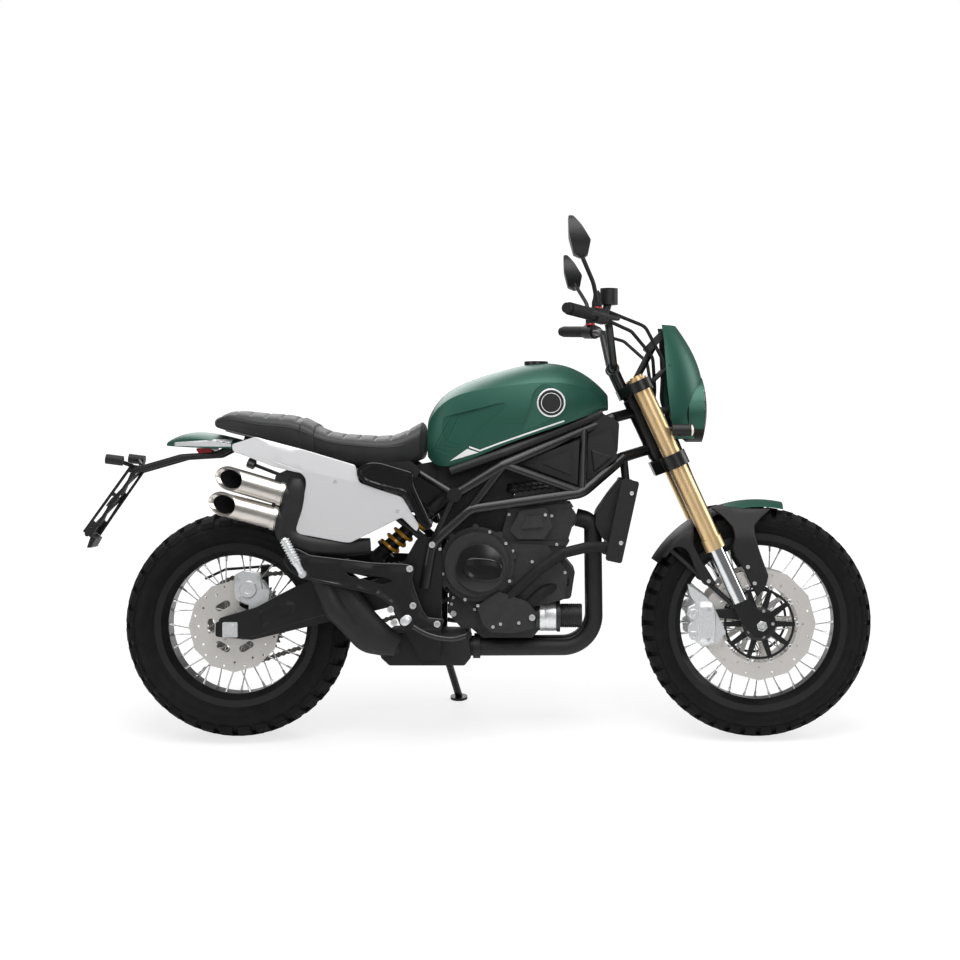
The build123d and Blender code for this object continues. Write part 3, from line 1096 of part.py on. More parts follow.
def fender_sector(angle_from, angle_to, radius):
    """Curved strip round the front axle, arched across the tyre."""
    a = radians(angle_from)
    profile = Plane(origin=FRONT_AXLE, x_dir=(cos(a), 0, sin(a)), z_dir=(-sin(a), 0, cos(a)))
    with BuildSketch(profile) as section:
        with BuildLine():
            ThreePointArc((radius - FENDER_DROP, -FENDER_HALF), (radius, 0),
                          (radius - FENDER_DROP, FENDER_HALF))
            Line((radius - FENDER_DROP, FENDER_HALF), (radius - FENDER_DROP, FENDER_HALF - FENDER_T))
            ThreePointArc((radius - FENDER_DROP, FENDER_HALF - FENDER_T), (radius - FENDER_T, 0),
                          (radius - FENDER_DROP, FENDER_T - FENDER_HALF))
            Line((radius - FENDER_DROP, FENDER_T - FENDER_HALF), (radius - FENDER_DROP, -FENDER_HALF))
        make_face()
    revolve(section.sketch, axis=Axis(FRONT_AXLE, (0, -1, 0)), revolution_arc=angle_to - angle_from)


def round_front(angle, y, radius):
    """Point round the front axle."""
    a = radians(angle)
    return FRONT_AXLE + Vector(radius * cos(a), y, radius * sin(a))


with BuildPart() as front_fender:
    fender_sector(FENDER_SPLIT, FENDER_REAR, FENDER_R)
    for side in (-1, 1):
        edge = FENDER_R - FENDER_DROP + 4
        bar(round_front(118, side * (FENDER_HALF - 6), edge), round_front(118, side * FORK_HALF, edge), 9)
        bar(round_front(140, side * (FENDER_HALF - 3), edge), in_fork(8, side * 92, FOOT_TOP - 6), 7)
    add(fork_tubes.part, mode=Mode.SUBTRACT)
    add(fork_feet.part, mode=Mode.SUBTRACT)
    add(fork_sliders.part, mode=Mode.SUBTRACT)
keep(front_fender, "front_fender")

with BuildPart() as fender_blade:
    fender_sector(FENDER_FRONT, FENDER_SPLIT, FENDER_R)
keep(fender_blade, "fender_blade")

# Handlebar on its risers, with the grips and controls
BAR_R = 11.0
BAR_AT = (-17.0, 828.0)      # in the fork's frame
RISER_Y = 42.0
GRIP_IN = Vector(1014, 290, 1181)
GRIP_OUT = Vector(939, 400, 1190)
GRIP_R = 17.0
BAR_MIDDLE = in_fork(BAR_AT[0], 0, BAR_AT[1])
with BuildPart() as handlebar:
    inner = Vector(BAR_MIDDLE.X, 96, BAR_MIDDLE.Z)
    knee = Vector(GRIP_IN.X + 34, 208, GRIP_IN.Z - 8)
    half_bar = [inner, knee, GRIP_IN, GRIP_OUT]
    route = [Vector(p.X, -p.Y, p.Z) for p in reversed(half_bar)] + half_bar
    bent_bar(route, BAR_R, [70, 60, 50, 50, 60, 70])
    for side in (-1, 1):
        bar(in_fork(BAR_AT[0], side * RISER_Y, UPPER_CLAMP[1]),
            in_fork(BAR_AT[0], side * RISER_Y, BAR_AT[1]), 15)
        bar(in_fork(BAR_AT[0], side * (RISER_Y - 14), BAR_AT[1]),
            in_fork(BAR_AT[0], side * (RISER_Y + 14), BAR_AT[1]),
            18)
    add(yokes.part, mode=Mode.SUBTRACT)
keep(handlebar, "handlebar")

GRIP_RUN = (GRIP_OUT - GRIP_IN).normalized()
with BuildPart() as grips:
    start = GRIP_IN + GRIP_RUN * 22
    end = GRIP_OUT + GRIP_RUN * 4
    bar(start, end, GRIP_R)
    bar(end - GRIP_RUN * 3, end + GRIP_RUN * 14, GRIP_R - 3)
    mirror(about=Plane.XZ)
    add(handlebar.part, mode=Mode.SUBTRACT)
keep(grips, "grips")

with BuildPart() as hand_controls:
    bar(GRIP_IN - GRIP_RUN * 26, GRIP_IN + GRIP_RUN * 21, 21)
    bar(GRIP_IN - GRIP_RUN * 40, GRIP_IN - GRIP_RUN * 26, 17)
    # Lever ahead of the grip
    lever_root = GRIP_IN - GRIP_RUN * 34
    bent_bar([lever_root, lever_root + Vector(46, 4, -4), lever_root + GRIP_RUN * 40 + Vector(50, 8, -8),
              lever_root + GRIP_RUN * 180 + Vector(62, 18, -10)], 6.5, [16, 30])
    mirror(about=Plane.XZ)
    # Fluid reservoir of the front brake, on the right
    bar((1034, -260, 1180), (1048, -250, 1226), 11)
    bar((1048, -250, 1214), (1048, -250, 1258), 24)
    add(handlebar.part, mode=Mode.SUBTRACT)
    add(grips.part, mode=Mode.SUBTRACT)
keep(hand_controls, "hand_controls")

# Mirrors on stems above the controls
MIRROR_Y = 415.0
MIRROR_Z = 1375.0
MIRROR_HALF = 53.0
MIRROR_HALF_Z = 57.0
with BuildPart() as mirror_head:
    slab([(934, 1432), (946, 1430), (968, 1402), (992, 1362), (986, 1330), (970, 1318), (948, 1330),
          (936, 1378)],
         MIRROR_Y - MIRROR_HALF, MIRROR_Y + MIRROR_HALF, corner=6)
    with BuildSketch(Plane.YZ.offset(900)) as mirror_face:
        with Locations((MIRROR_Y, MIRROR_Z)):
            Ellipse(MIRROR_HALF, MIRROR_HALF_Z)
    extrude(mirror_face.sketch, amount=120, mode=Mode.INTERSECT)

with BuildPart() as mirrors:
    bent_bar([GRIP_IN - GRIP_RUN * 8 + Vector(0, 0, 18), (1004, 300, 1268), (972, 372, 1330),
              (962, 404, 1368)], 6,
             [40, 40])
    add(mirror_head.part)
    mirror(about=Plane.XZ)
    add(hand_controls.part, mode=Mode.SUBTRACT)
    add(handlebar.part, mode=Mode.SUBTRACT)
keep(mirrors, "mirrors")

# Headlamp: bowl, lens and painted cowl
LAMP_Z = 935.0
LAMP_R = 92.0
LAMP_FRONT = 1324.0
LAMP_REAR = 1236.0
LAMP_WALL = 10.0
LENS_R = 86.0
LENS_DOME = 14.0
LENS_SPHERE_R = (LENS_R ** 2 + (LENS_DOME - 2) ** 2) / (2 * (LENS_DOME - 2))
with BuildPart() as headlamp:
    with BuildSketch(Plane.XY.offset(LAMP_Z)) as bowl:
        with BuildLine():
            Polyline((LAMP_FRONT, LAMP_R - LAMP_WALL), (LAMP_FRONT, LAMP_R), (LAMP_FRONT - 44, LAMP_R),
                     (LAMP_REAR, LAMP_R * 0.62), (LAMP_REAR, 0), (LAMP_REAR + LAMP_WALL, 0),
                     (LAMP_REAR + LAMP_WALL, LAMP_R * 0.62 - LAMP_WALL),
                     (LAMP_FRONT - 44, LAMP_R - LAMP_WALL),
                     close=True)
        make_face()
    revolve(bowl.sketch, axis=Axis((0, 0, LAMP_Z), (1, 0, 0)))
    for side in (-1, 1):
        bar((1262, side * 72, LAMP_Z), (1176, side * 102, LAMP_Z - 4), 9)
        # Indicators on short stalks
        bar((1200, side * 86, 880), (1252, side * 128, 880), 6)
        bar((1230, side * 132, 876), (1282, side * 132, 876), 17)
    add(fork_tubes.part, mode=Mode.SUBTRACT)
keep(headlamp, "headlamp")

with BuildPart() as headlamp_lens:
    with Locations(Plane(origin=(LAMP_FRONT, 0, LAMP_Z), z_dir=(1, 0, 0))):
        Cylinder(LENS_R, LENS_DOME, align=(Align.CENTER, Align.CENTER, Align.MIN))
    with Locations((LAMP_FRONT + LENS_DOME - LENS_SPHERE_R, 0, LAMP_Z)):
        Sphere(LENS_SPHERE_R, mode=Mode.INTERSECT)
keep(headlamp_lens, "headlamp_lens")

COWL_T = 4.0
COWL_STATIONS = ((852, 1312, 1236, 90), (960, 1329, 1222, 112), (1050, 1317, 1214, 108),
                 (1120, 1286, 1210, 94),
                 (1174, 1250, 1204, 76))
with BuildPart() as headlamp_cowl:
    bands = []
    for z, front_x, rear_x, half in COWL_STATIONS:
        with BuildSketch(Plane.XY.offset(z)) as band:
            with BuildLine():
                ThreePointArc((rear_x, -half), (front_x, 0), (rear_x, half))
                Line((rear_x, half), (rear_x, half - COWL_T))
                ThreePointArc((rear_x, half - COWL_T), (front_x - COWL_T, 0), (rear_x, COWL_T - half))
                Line((rear_x, COWL_T - half), (rear_x, -half))
            make_face()
        bands.append(band.sketch)
    loft(bands)
    with Locations(Plane(origin=(LAMP_REAR - 40, 0, LAMP_Z), z_dir=(1, 0, 0))):
        Cylinder(LAMP_R + 1, 200, align=(Align.CENTER, Align.CENTER, Align.MIN), mode=Mode.SUBTRACT)
    # Stays to the upper clamp
    for side in (-1, 1):
        bar((1226, side * 101, 1060), (1170, side * 98, 1006), 6)
    add(fork_tubes.part, mode=Mode.SUBTRACT)
    add(yokes.part, mode=Mode.SUBTRACT)
    add(headlamp.part, mode=Mode.SUBTRACT)
keep(headlamp_cowl, "headlamp_cowl")

with BuildPart() as instrument:
    slab([(1158, 1112), (1174, 1098), (1230, 1158), (1216, 1172)], -58, 58, corner=4)
    bar((1186, 0, 1118), in_fork(20, 0, UPPER_CLAMP[1] - 2), 10)
    add(yokes.part, mode=Mode.SUBTRACT)
    add(headlamp_cowl.part, mode=Mode.SUBTRACT)
keep(instrument, "instrument")

# Cables and hoses from the controls, all held on the steering
with BuildPart() as control_cables:
    for side in (-1, 1):
        bent_bar([(1040, side * 262, 1172), (1112, side * 196, 1146), (1176, side * 120, 1080),
                  (1186, side * 62, 990),
                  (1180, side * 40, 905)], 5, [50, 60, 60])
    bent_bar([(1046, -246, 1196), (1150, -190, 1160), (1206, -110, 1070), (1204, -58, 960), (1236, -56, 880),
              (1290, -66, 745), (1346, -72, 620), (1352, -82, 520)], 5, [50, 60, 60, 60, 60, 40])
    for cut in (yokes, fork_tubes, fork_sliders, handlebar, hand_controls, headlamp, headlamp_cowl,
                instrument,
                front_fender):
        add(cut.part, mode=Mode.SUBTRACT)
keep(control_cables, "control_cables")

# Parked pose: leaned onto the stand, then moved so that the box stands on the origin at its middle
leaned = {label: piece.moved(Rot(-LEAN, 0, 0)) for label, piece in pieces.items()}
boxes = [piece.bounding_box() for piece in leaned.values()]
low = [min(getattr(box.min, axis) for box in boxes) for axis in "XYZ"]
high = [max(getattr(box.max, axis) for box in boxes) for axis in "XYZ"]
PARK_SHIFT = Vector(-(low[0] + high[0]) / 2, -(low[1] + high[1]) / 2, -low[2])
print("park shift", *PARK_SHIFT, "size", *[b - a for a, b in zip(low, high)])
for label, piece in leaned.items():
    parked = piece.moved(Pos(PARK_SHIFT))
    parked.label = label
    export_step(parked, f"parts/{label}.step")
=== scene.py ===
"""Looks of the scrambler motorcycle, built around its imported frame."""
import json
from math import cos, pi, radians, sin, sqrt

import bmesh
import bpy
from mathutils import Matrix, Vector
from mathutils.bvhtree import BVHTree
from mathutils.geometry import delaunay_2d_cdt


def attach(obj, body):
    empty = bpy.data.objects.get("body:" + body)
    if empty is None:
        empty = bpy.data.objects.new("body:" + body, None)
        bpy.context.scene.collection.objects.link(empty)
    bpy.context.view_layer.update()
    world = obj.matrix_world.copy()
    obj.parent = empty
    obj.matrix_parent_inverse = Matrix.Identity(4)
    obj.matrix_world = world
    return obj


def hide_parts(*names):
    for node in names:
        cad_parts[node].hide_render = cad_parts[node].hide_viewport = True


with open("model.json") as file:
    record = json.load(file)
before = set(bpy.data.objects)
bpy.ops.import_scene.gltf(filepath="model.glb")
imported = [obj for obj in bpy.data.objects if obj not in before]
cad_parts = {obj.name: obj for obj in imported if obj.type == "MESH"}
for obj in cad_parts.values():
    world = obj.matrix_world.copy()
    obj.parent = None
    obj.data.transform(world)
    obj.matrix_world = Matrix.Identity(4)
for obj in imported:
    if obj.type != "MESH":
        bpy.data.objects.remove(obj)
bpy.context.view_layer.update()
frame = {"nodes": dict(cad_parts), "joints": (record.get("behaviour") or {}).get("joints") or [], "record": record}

NODES = frame["nodes"]
MM = 0.001

# The machine's own upright frame: X forward from the rear axle, Y left, Z up, in millimetres
JOINTS = {joint["name"]: joint for joint in frame["joints"]}
SIDEWAYS = Vector(JOINTS["rear_wheel_spin"]["axis"])
FORWARD = Vector((1, 0, 0))
UPRIGHT = FORWARD.cross(SIDEWAYS)
LEFT = Vector((0, 1, 0))
RIGHT = Vector((0, -1, 0))
REAR_AXLE_M = Vector(JOINTS["rear_wheel_spin"]["pos_m"])
REAR_AXLE_Z = REAR_AXLE_M.z / UPRIGHT.z / MM
ORIGIN = REAR_AXLE_M - UPRIGHT * (REAR_AXLE_Z * MM)
LEAN = Matrix((FORWARD, SIDEWAYS, UPRIGHT)).transposed().to_4x4()
BIKE = Matrix.Translation(ORIGIN) @ LEAN @ Matrix.Scale(MM, 4)
FROM_PACKED = BIKE.inverted()
FRONT_AXLE = FROM_PACKED @ Vector(JOINTS["front_wheel_spin"]["pos_m"])
REAR_AXLE = Vector((0, 0, REAR_AXLE_Z))

# Camera, square to the machine's right side
CAMERA_AT = Vector((861, -4500, 820))
CAMERA_LENS = 58.8
CAMERA_SHIFT = (-0.0625, -0.031)

# Light: a wide top lamp, a key from the camera's side, and lamps that draw the edges
WORLD_LIGHT = 0.2
LAMPS = (("top", (0.0, -0.9, 3.4), 3.0, 130), ("key", (1.2, -3.8, 2.6), 1.6, 26),
         ("fill", (-3.0, -2.6, 1.6), 1.6, 16), ("front", (3.6, 0.4, 1.8), 1.8, 40),
         ("back", (-1.0, 3.2, 2.4), 2.4, 60))
LAMPS_AIM = Vector((0, 0, 0.6))
FLOOR_HALF = 30
FLOOR_GLOW = 1.12
FLOOR_REACH = (1.3, 2.6)
FLOOR_SHARE = (0.66, 1.0)

# Colours, linear
BLACK = (0.006, 0.006, 0.0065)
GREEN = (0.0135, 0.082, 0.056)
GOLD = (0.78, 0.56, 0.30)
DISC_STEEL = (0.82, 0.79, 0.76)
DISC_ROUGH = 0.34
MATERIALS = {}


def set_sockets(node, sockets):
    """Set a node's sockets by name, with underscores for the spaces."""
    for key, value in sockets.items():
        node.inputs[key.replace("_", " ")].default_value = value


def add_node(tree, kind, operation=None, **sockets):
    """New shader node with its sockets set."""
    node = tree.nodes.new("ShaderNode" + kind)
    if operation:
        node.operation = operation
    set_sockets(node, sockets)
    return node


def new_material(name, color, metallic=0.0, roughness=0.5, **sockets):
    """Principled material, kept by its name; returns its tree and shader."""
    material = bpy.data.materials.new(name)
    material.use_nodes = True
    MATERIALS[name] = material
    shader = material.node_tree.nodes["Principled BSDF"]
    set_sockets(shader, {"Base_Color": (*color, 1), "Metallic": metallic, "Roughness": roughness, **sockets})
    return material.node_tree, shader


def object_place(tree):
    """Place on the object, for a texture."""
    return add_node(tree, "TexCoord").outputs["Object"]


def noise(tree, scale, detail=4.0, roughness=0.55, stretch=None):
    """Noise on the object, stretched along the axes where asked."""
    texture = add_node(tree, "TexNoise", Scale=scale, Detail=detail, Roughness=roughness)
    source = object_place(tree)
    if stretch is not None:
        mapping = add_node(tree, "Mapping", Scale=stretch)
        tree.links.new(source, mapping.inputs["Vector"])
        source = mapping.outputs["Vector"]
    tree.links.new(source, texture.inputs["Vector"])
    return texture.outputs["Fac"]


def shaded(color, share):
    """A colour made darker or lighter."""
    return tuple(min(1, c * share) for c in color)


def tint(tree, shader, source, low, high, ends=(0.3, 0.7)):
    """Colour that follows a texture."""
    node = add_node(tree, "ValToRGB")
    for element, position, color in zip(node.color_ramp.elements, ends, (low, high)):
        element.position = position
        element.color = (*color, 1)
    tree.links.new(source, node.inputs["Fac"])
    tree.links.new(node.outputs["Color"], shader.inputs["Base Color"])


def roughen(tree, shader, source, low, high):
    """Roughness that follows a texture."""
    node = add_node(tree, "MapRange", To_Min=low, To_Max=high)
    tree.links.new(source, node.inputs["Value"])
    tree.links.new(node.outputs["Result"], shader.inputs["Roughness"])


def add_bump(tree, shader, source, strength, distance):
    """Bump from a texture's height."""
    node = add_node(tree, "Bump", Strength=strength, Distance=distance)
    tree.links.new(source, node.inputs["Height"])
    tree.links.new(node.outputs["Normal"], shader.inputs["Normal"])


def grained(name, color, metallic, rough, scale, bump, shade=0.25, stretch=None, **sockets):
    """Finish with a colour that varies a little, a roughness that varies and a fine bump."""
    tree, shader = new_material(name, color, metallic, sum(rough) / 2, **sockets)
    cloud = noise(tree, scale * 0.07, 3, 0.6, stretch)
    tint(tree, shader, cloud, shaded(color, 1 - shade), shaded(color, 1 + shade))
    fine = noise(tree, scale, 5, 0.6, stretch)
    roughen(tree, shader, fine, *rough)
    if bump > 0:
        add_bump(tree, shader, fine, 0.35, bump)


def green_metallic(name):
    """Satin green paint with fine flakes under the lacquer."""
    tree, shader = new_material(name, GREEN, 0.45, 0.42, Coat_Weight=0.15, Coat_Roughness=0.35)
    tint(tree, shader, noise(tree, 2600, 2, 0.5), shaded(GREEN, 0.72), shaded(GREEN, 1.5), (0.35, 0.75))
    peel = noise(tree, 240, 2, 0.4)
    roughen(tree, shader, peel, 0.38, 0.48)
    add_bump(tree, shader, peel, 0.03, 0.0004)


def tyre_rubber(name):
    """Matt rubber with a dusty cast and fine moulding grain."""
    tree, shader = new_material(name, (0.012, 0.012, 0.012), 0.0, 0.82, Specular_IOR_Level=0.2)
    tint(tree, shader, noise(tree, 24, 6, 0.65), (0.003, 0.003, 0.003), (0.008, 0.008, 0.0078))
    grain = noise(tree, 900, 3, 0.5)
    roughen(tree, shader, grain, 0.7, 0.92)
    add_bump(tree, shader, grain, 0.25, 0.0006)


def leather(name):
    """Black grained seat leather."""
    tree, shader = new_material(name, (0.014, 0.014, 0.015), 0.0, 0.52,
                                Sheen_Weight=0.12, Sheen_Roughness=0.5)
    cells = add_node(tree, "TexVoronoi")
    cells.feature = "DISTANCE_TO_EDGE"
    cells.inputs["Scale"].default_value = 420
    tree.links.new(object_place(tree), cells.inputs["Vector"])
    wear = noise(tree, 18, 5, 0.6)
    tint(tree, shader, wear, (0.006, 0.006, 0.0065), (0.013, 0.013, 0.0135))
    roughen(tree, shader, wear, 0.42, 0.62)
    add_bump(tree, shader, cells.outputs["Distance"], 0.35, 0.0012)


def brushed_ring(name, axle):
    """Disc steel, ground in rings about a wheel's axle."""
    tree, shader = new_material(name, DISC_STEEL, 0.8, DISC_ROUGH)
    move = add_node(tree, "Mapping", Location=tuple(-(BIKE @ axle)))
    length = add_node(tree, "VectorMath", "LENGTH")
    rings = add_node(tree, "TexNoise")
    rings.noise_dimensions = "1D"
    rings.inputs["Scale"].default_value = 1600
    tree.links.new(object_place(tree), move.inputs["Vector"])
    tree.links.new(move.outputs["Vector"], length.inputs[0])
    tree.links.new(length.outputs["Value"], rings.inputs["W"])
    tint(tree, shader, rings.outputs["Fac"], shaded(DISC_STEEL, 0.78), shaded(DISC_STEEL, 1.15))
    roughen(tree, shader, rings.outputs["Fac"], DISC_ROUGH - 0.07, DISC_ROUGH + 0.1)


def make_materials():
    """All finishes, by the names that the pieces ask for."""
    grained("black_paint", BLACK, 0.0, (0.26, 0.36), 420, 0.0001, Specular_IOR_Level=0.5)
    grained("engine_black", (0.016, 0.016, 0.0165), 0.0, (0.38, 0.52), 700, 0.0003, Specular_IOR_Level=0.5)
    grained("exhaust_black", (0.009, 0.009, 0.009), 0.0, (0.46, 0.6), 500, 0.0003, Specular_IOR_Level=0.36)
    grained("brushed_tip", (0.60, 0.57, 0.53), 1.0, (0.24, 0.40), 900, 0.0001, 0.12, (0.05, 1, 1))
    grained("bright_alloy", (0.78, 0.79, 0.80), 0.75, (0.30, 0.44), 2600, 0.0002, 0.08)
    grained("spring_gold", (0.62, 0.30, 0.015), 0.25, (0.25, 0.35), 300, 0.0, 0.1, Coat_Weight=0.5)
    grained("chain_steel", (0.20, 0.19, 0.18), 1.0, (0.35, 0.55), 500, 0.0002)
    grained("black_plastic", (0.007, 0.007, 0.0075), 0.0, (0.42, 0.58), 1100, 0.0005, Specular_IOR_Level=0.38)
    grained("black_rubber", (0.006, 0.006, 0.006), 0.0, (0.6, 0.78), 900, 0.0004, Specular_IOR_Level=0.3)
    green_metallic("green_paint")
    leather("saddle_leather")
    grained("silver_paint", (0.64, 0.64, 0.65), 0.3, (0.30, 0.36), 9000, 0.0, 0.03,
            Coat_Weight=0.25, Coat_Roughness=0.15)
    grained("red_lens", (0.28, 0.008, 0.008), 0.0, (0.08, 0.16), 300, 0.0002, 0.1, Coat_Weight=1.0)
    grained("fork_gold", GOLD, 0.85, (0.30, 0.42), 700, 0.0, 0.06, (1, 1, 0.08))
    grained("chrome", (0.72, 0.73, 0.75), 1.0, (0.05, 0.12), 300, 0.0, 0.05)
    new_material("clear_lens", (0.96, 0.98, 0.98), 0.0, 0.02, Transmission_Weight=1.0, IOR=1.45)
    grained("stripe_white", (0.82, 0.83, 0.82), 0.0, (0.28, 0.38), 600, 0.0, 0.03, Coat_Weight=0.3)
    grained("dark_grey", (0.05, 0.05, 0.052), 0.2, (0.4, 0.55), 500, 0.0002, 0.15)
    grained("soot", (0.004, 0.004, 0.004), 0.0, (0.8, 0.95), 300, 0.0, 0.3, Specular_IOR_Level=0.1)
    grained("gloss_black", (0.005, 0.005, 0.0055), 0.0, (0.16, 0.24), 500, 0.0, 0.1)
    grained("bright_bolt", (0.66, 0.66, 0.66), 0.55, (0.3, 0.4), 300, 0.0, 0.05)
    grained("pale_lens", (0.75, 0.68, 0.6), 0.0, (0.1, 0.2), 300, 0.0, 0.1, Coat_Weight=1.0)
    grained("red_accent", (0.45, 0.02, 0.02), 0.2, (0.3, 0.4), 300, 0.0, 0.1)
    tyre_rubber("tyre")
    grained("spoke_steel", (0.60, 0.60, 0.60), 1.0, (0.18, 0.3), 400, 0.0, 0.1)
    brushed_ring("front_disc_steel", FRONT_AXLE)
    brushed_ring("rear_disc_steel", REAR_AXLE)


SLOT_OF = {entry["node"]: entry["material_slot"] for entry in frame["record"]["subparts"]}
SMOOTH_ANGLE = radians(32)


def dress_cad():
    """Give every node of the frame its finish, and smooth its round faces."""
    for name, node in NODES.items():
        slot = SLOT_OF[name]
        if slot == "disc_steel":
            slot = "front_disc_steel" if name.startswith("front") else "rear_disc_steel"
        node.data.materials.clear()
        node.data.materials.append(MATERIALS[slot])
        node.data.polygons.foreach_set("use_smooth", [True] * len(node.data.polygons))
        node.data.set_sharp_from_angle(angle=SMOOTH_ANGLE)


make_materials()
dress_cad()


HUB_FLANGES = {"rear_wheel": (52, 42), "front_wheel": (44, 36)}
BOX_FACES = [(3, 2, 1, 0), (4, 5, 6, 7), (0, 1, 5, 4), (1, 2, 6, 5), (2, 3, 7, 6), (3, 0, 4, 7)]
# Heads with a recess, as shares of a radius and a height
BOLT_HEAD = ((1, 0), (1, 0.8), (0.88, 1), (0.52, 1), (0.46, 0.45), (0, 0.45))
NUT_HEAD = ((1, 0), (1, 0.85), (0.88, 1), (0.5, 1), (0.45, 0.6), (0, 0.6))
# A ray onto a skin starts this far from the middle plane
RAY_START = 600
# The edges of a sheet laid on a skin are sunk into it by this much
EDGE_SINK = -0.3


def to_machine(point):
    """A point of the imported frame, in the machine's frame."""
    return FROM_PACKED @ Vector(point)


def points_of(name):
    """Corners of a CAD node's mesh, in the machine's frame."""
    node = NODES[name]
    return [to_machine(node.matrix_world @ vertex.co) for vertex in node.data.vertices]


def paint(name, finish, chosen):
    """Give another finish to those faces of a CAD node that are chosen by their middle and their normal."""
    mesh = NODES[name].data
    index = len(mesh.materials)
    mesh.materials.append(MATERIALS[finish])
    for face in mesh.polygons:
        if chosen(to_machine(face.center), (FROM_PACKED.to_3x3() @ face.normal).normalized()):
            face.material_index = index


def turns(count):
    """Equal steps of a full turn."""
    return [2 * pi * step / count for step in range(count)]


def signed_power(value, power):
    """Power of a number's size, with the number's sign."""
    return abs(value) ** power * (1 if value > 0 else -1)


class Shape:
    """Mesh under construction, in the machine's frame and in millimetres."""

    def __init__(self):
        self.points = []
        self.faces = []

    def add(self, points, faces):
        """Add points, and faces that count from the first of them."""
        first = len(self.points)
        self.points += [tuple(point) for point in points]
        self.faces += [tuple(first + index for index in face) for face in faces]

    def rows(self, rows, closed=False, looped=False):
        """Skin over rows of as many points; closed joins a row's ends, looped the last row to the first."""
        width = len(rows[0])
        faces = []
        for row in range(len(rows) if looped else len(rows) - 1):
            after = (row + 1) % len(rows)
            for column in range(width if closed else width - 1):
                beside = (column + 1) % width
                faces.append((row * width + column, row * width + beside, after * width + beside,
                              after * width + column))
        self.add([point for row in rows for point in row], faces)

    def barrel(self, rows, start=True, end=True):
        """Skin over closed rows, with the first and the last of them filled where asked."""
        self.rows(rows, closed=True)
        width = len(rows[0])
        first, last = len(self.points) - len(rows) * width, len(self.points) - width
        if start:
            self.faces.append(tuple(first + step for step in reversed(range(width))))
        if end:
            self.faces.append(tuple(last + step for step in range(width)))

    def lathe(self, center, axis, profile, sides=20, ends=True):
        """Round piece from (radius, height) pairs, with flat ends where asked and not at a point."""
        center, axis = Vector(center), Vector(axis).normalized()
        across = axis.orthogonal().normalized()
        beyond = axis.cross(across)
        rows = [[center + axis * height + (across * cos(a) + beyond * sin(a)) * max(radius, 0.01)
                 for a in turns(sides)] for radius, height in profile]
        self.barrel(rows, ends and profile[0][0] > 0, ends and profile[-1][0] > 0)

    def rod(self, start, end, radius, sides=12):
        """Plain round rod."""
        run = Vector(end) - Vector(start)
        self.lathe(start, run, [(radius, 0), (radius, run.length)], sides)

    def ring(self, center, axis, radius, wire, sides=64, wire_sides=10):
        """Round ring of round wire."""
        profile = [(radius + wire * cos(a), wire * sin(a)) for a in turns(wire_sides)]
        center, axis = Vector(center), Vector(axis).normalized()
        across = axis.orthogonal().normalized()
        beyond = axis.cross(across)
        rows = [[center + axis * h + (across * cos(a) + beyond * sin(a)) * r for r, h in profile]
                for a in turns(sides)]
        self.rows(rows, closed=True, looped=True)

    def tube(self, points, radius, sides=10, steps=8):
        """Round tube along a smooth curve through the points."""
        line = smooth_line([Vector(point) for point in points], steps)
        rows = []
        across = (line[1] - line[0]).orthogonal().normalized()
        for index, at in enumerate(line):
            along_line = (line[min(index + 1, len(line) - 1)] - line[max(index - 1, 0)]).normalized()
            across = (across - along_line * across.dot(along_line)).normalized()
            beyond = along_line.cross(across)
            rows.append([at + (across * cos(a) + beyond * sin(a)) * radius for a in turns(sides)])
        self.barrel(rows)

    def bolt(self, at, axis, radius, height, head=BOLT_HEAD, sides=14):
        """Socket-head screw, or another head with a recess."""
        self.lathe(at, axis, [(radius * wide, height * high) for wide, high in head], sides)

    def screws(self, skin, places, side, radius, height, reach=0):
        """Screws sunk 1 mm into a skin at side view places, where it stands out further than the reach."""
        for x, z in places:
            at = on_skin(skin, x, z, side, -1)
            if at is not None and at.y * side > reach:
                self.bolt(at, (0, side, 0), radius, height)

    def make(self, name, finish, body, slot=None, angle=35):
        """Finished piece, riding on a body; its slot argument is not used."""
        mesh = bpy.data.meshes.new(name)
        mesh.from_pydata(self.points, [], self.faces)
        mesh.transform(BIKE)
        mesh.materials.append(MATERIALS[finish])
        work = bmesh.new()
        work.from_mesh(mesh)
        bmesh.ops.recalc_face_normals(work, faces=work.faces)
        work.to_mesh(mesh)
        work.free()
        obj = bpy.data.objects.new(name, mesh)
        bpy.context.scene.collection.objects.link(obj)
        mesh.polygons.foreach_set("use_smooth", [True] * len(mesh.polygons))
        mesh.set_sharp_from_angle(angle=radians(angle))
        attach(obj, body)
        return obj


def smooth_line(points, steps):
    """Points of a smooth curve through the given ones."""
    if len(points) < 3:
        return points
    ends = [points[0] * 2 - points[1]] + points + [points[-1] * 2 - points[-2]]
    line = []
    for index in range(1, len(ends) - 2):
        a, b, c, d = ends[index - 1:index + 3]
        for step in range(steps):
            t = step / steps
            line.append(0.5 * (2 * b + (c - a) * t + (2 * a - 5 * b + 4 * c - d) * t * t
                               + (3 * b - a - 3 * c + d) * t ** 3))
    return line + [points[-1]]


def round_axle(axle, angle, radius, y):
    """Point round a wheel's axle."""
    return Vector((axle.x + radius * cos(angle), y, axle.z + radius * sin(angle)))


def skin_of(*node_names):
    """Search tree over the faces of CAD nodes, in the machine's frame."""
    points, faces = [], []
    for name in node_names:
        first = len(points)
        points += points_of(name)
        faces += [[first + index for index in face.vertices] for face in NODES[name].data.polygons]
    return BVHTree.FromPolygons(points, faces)


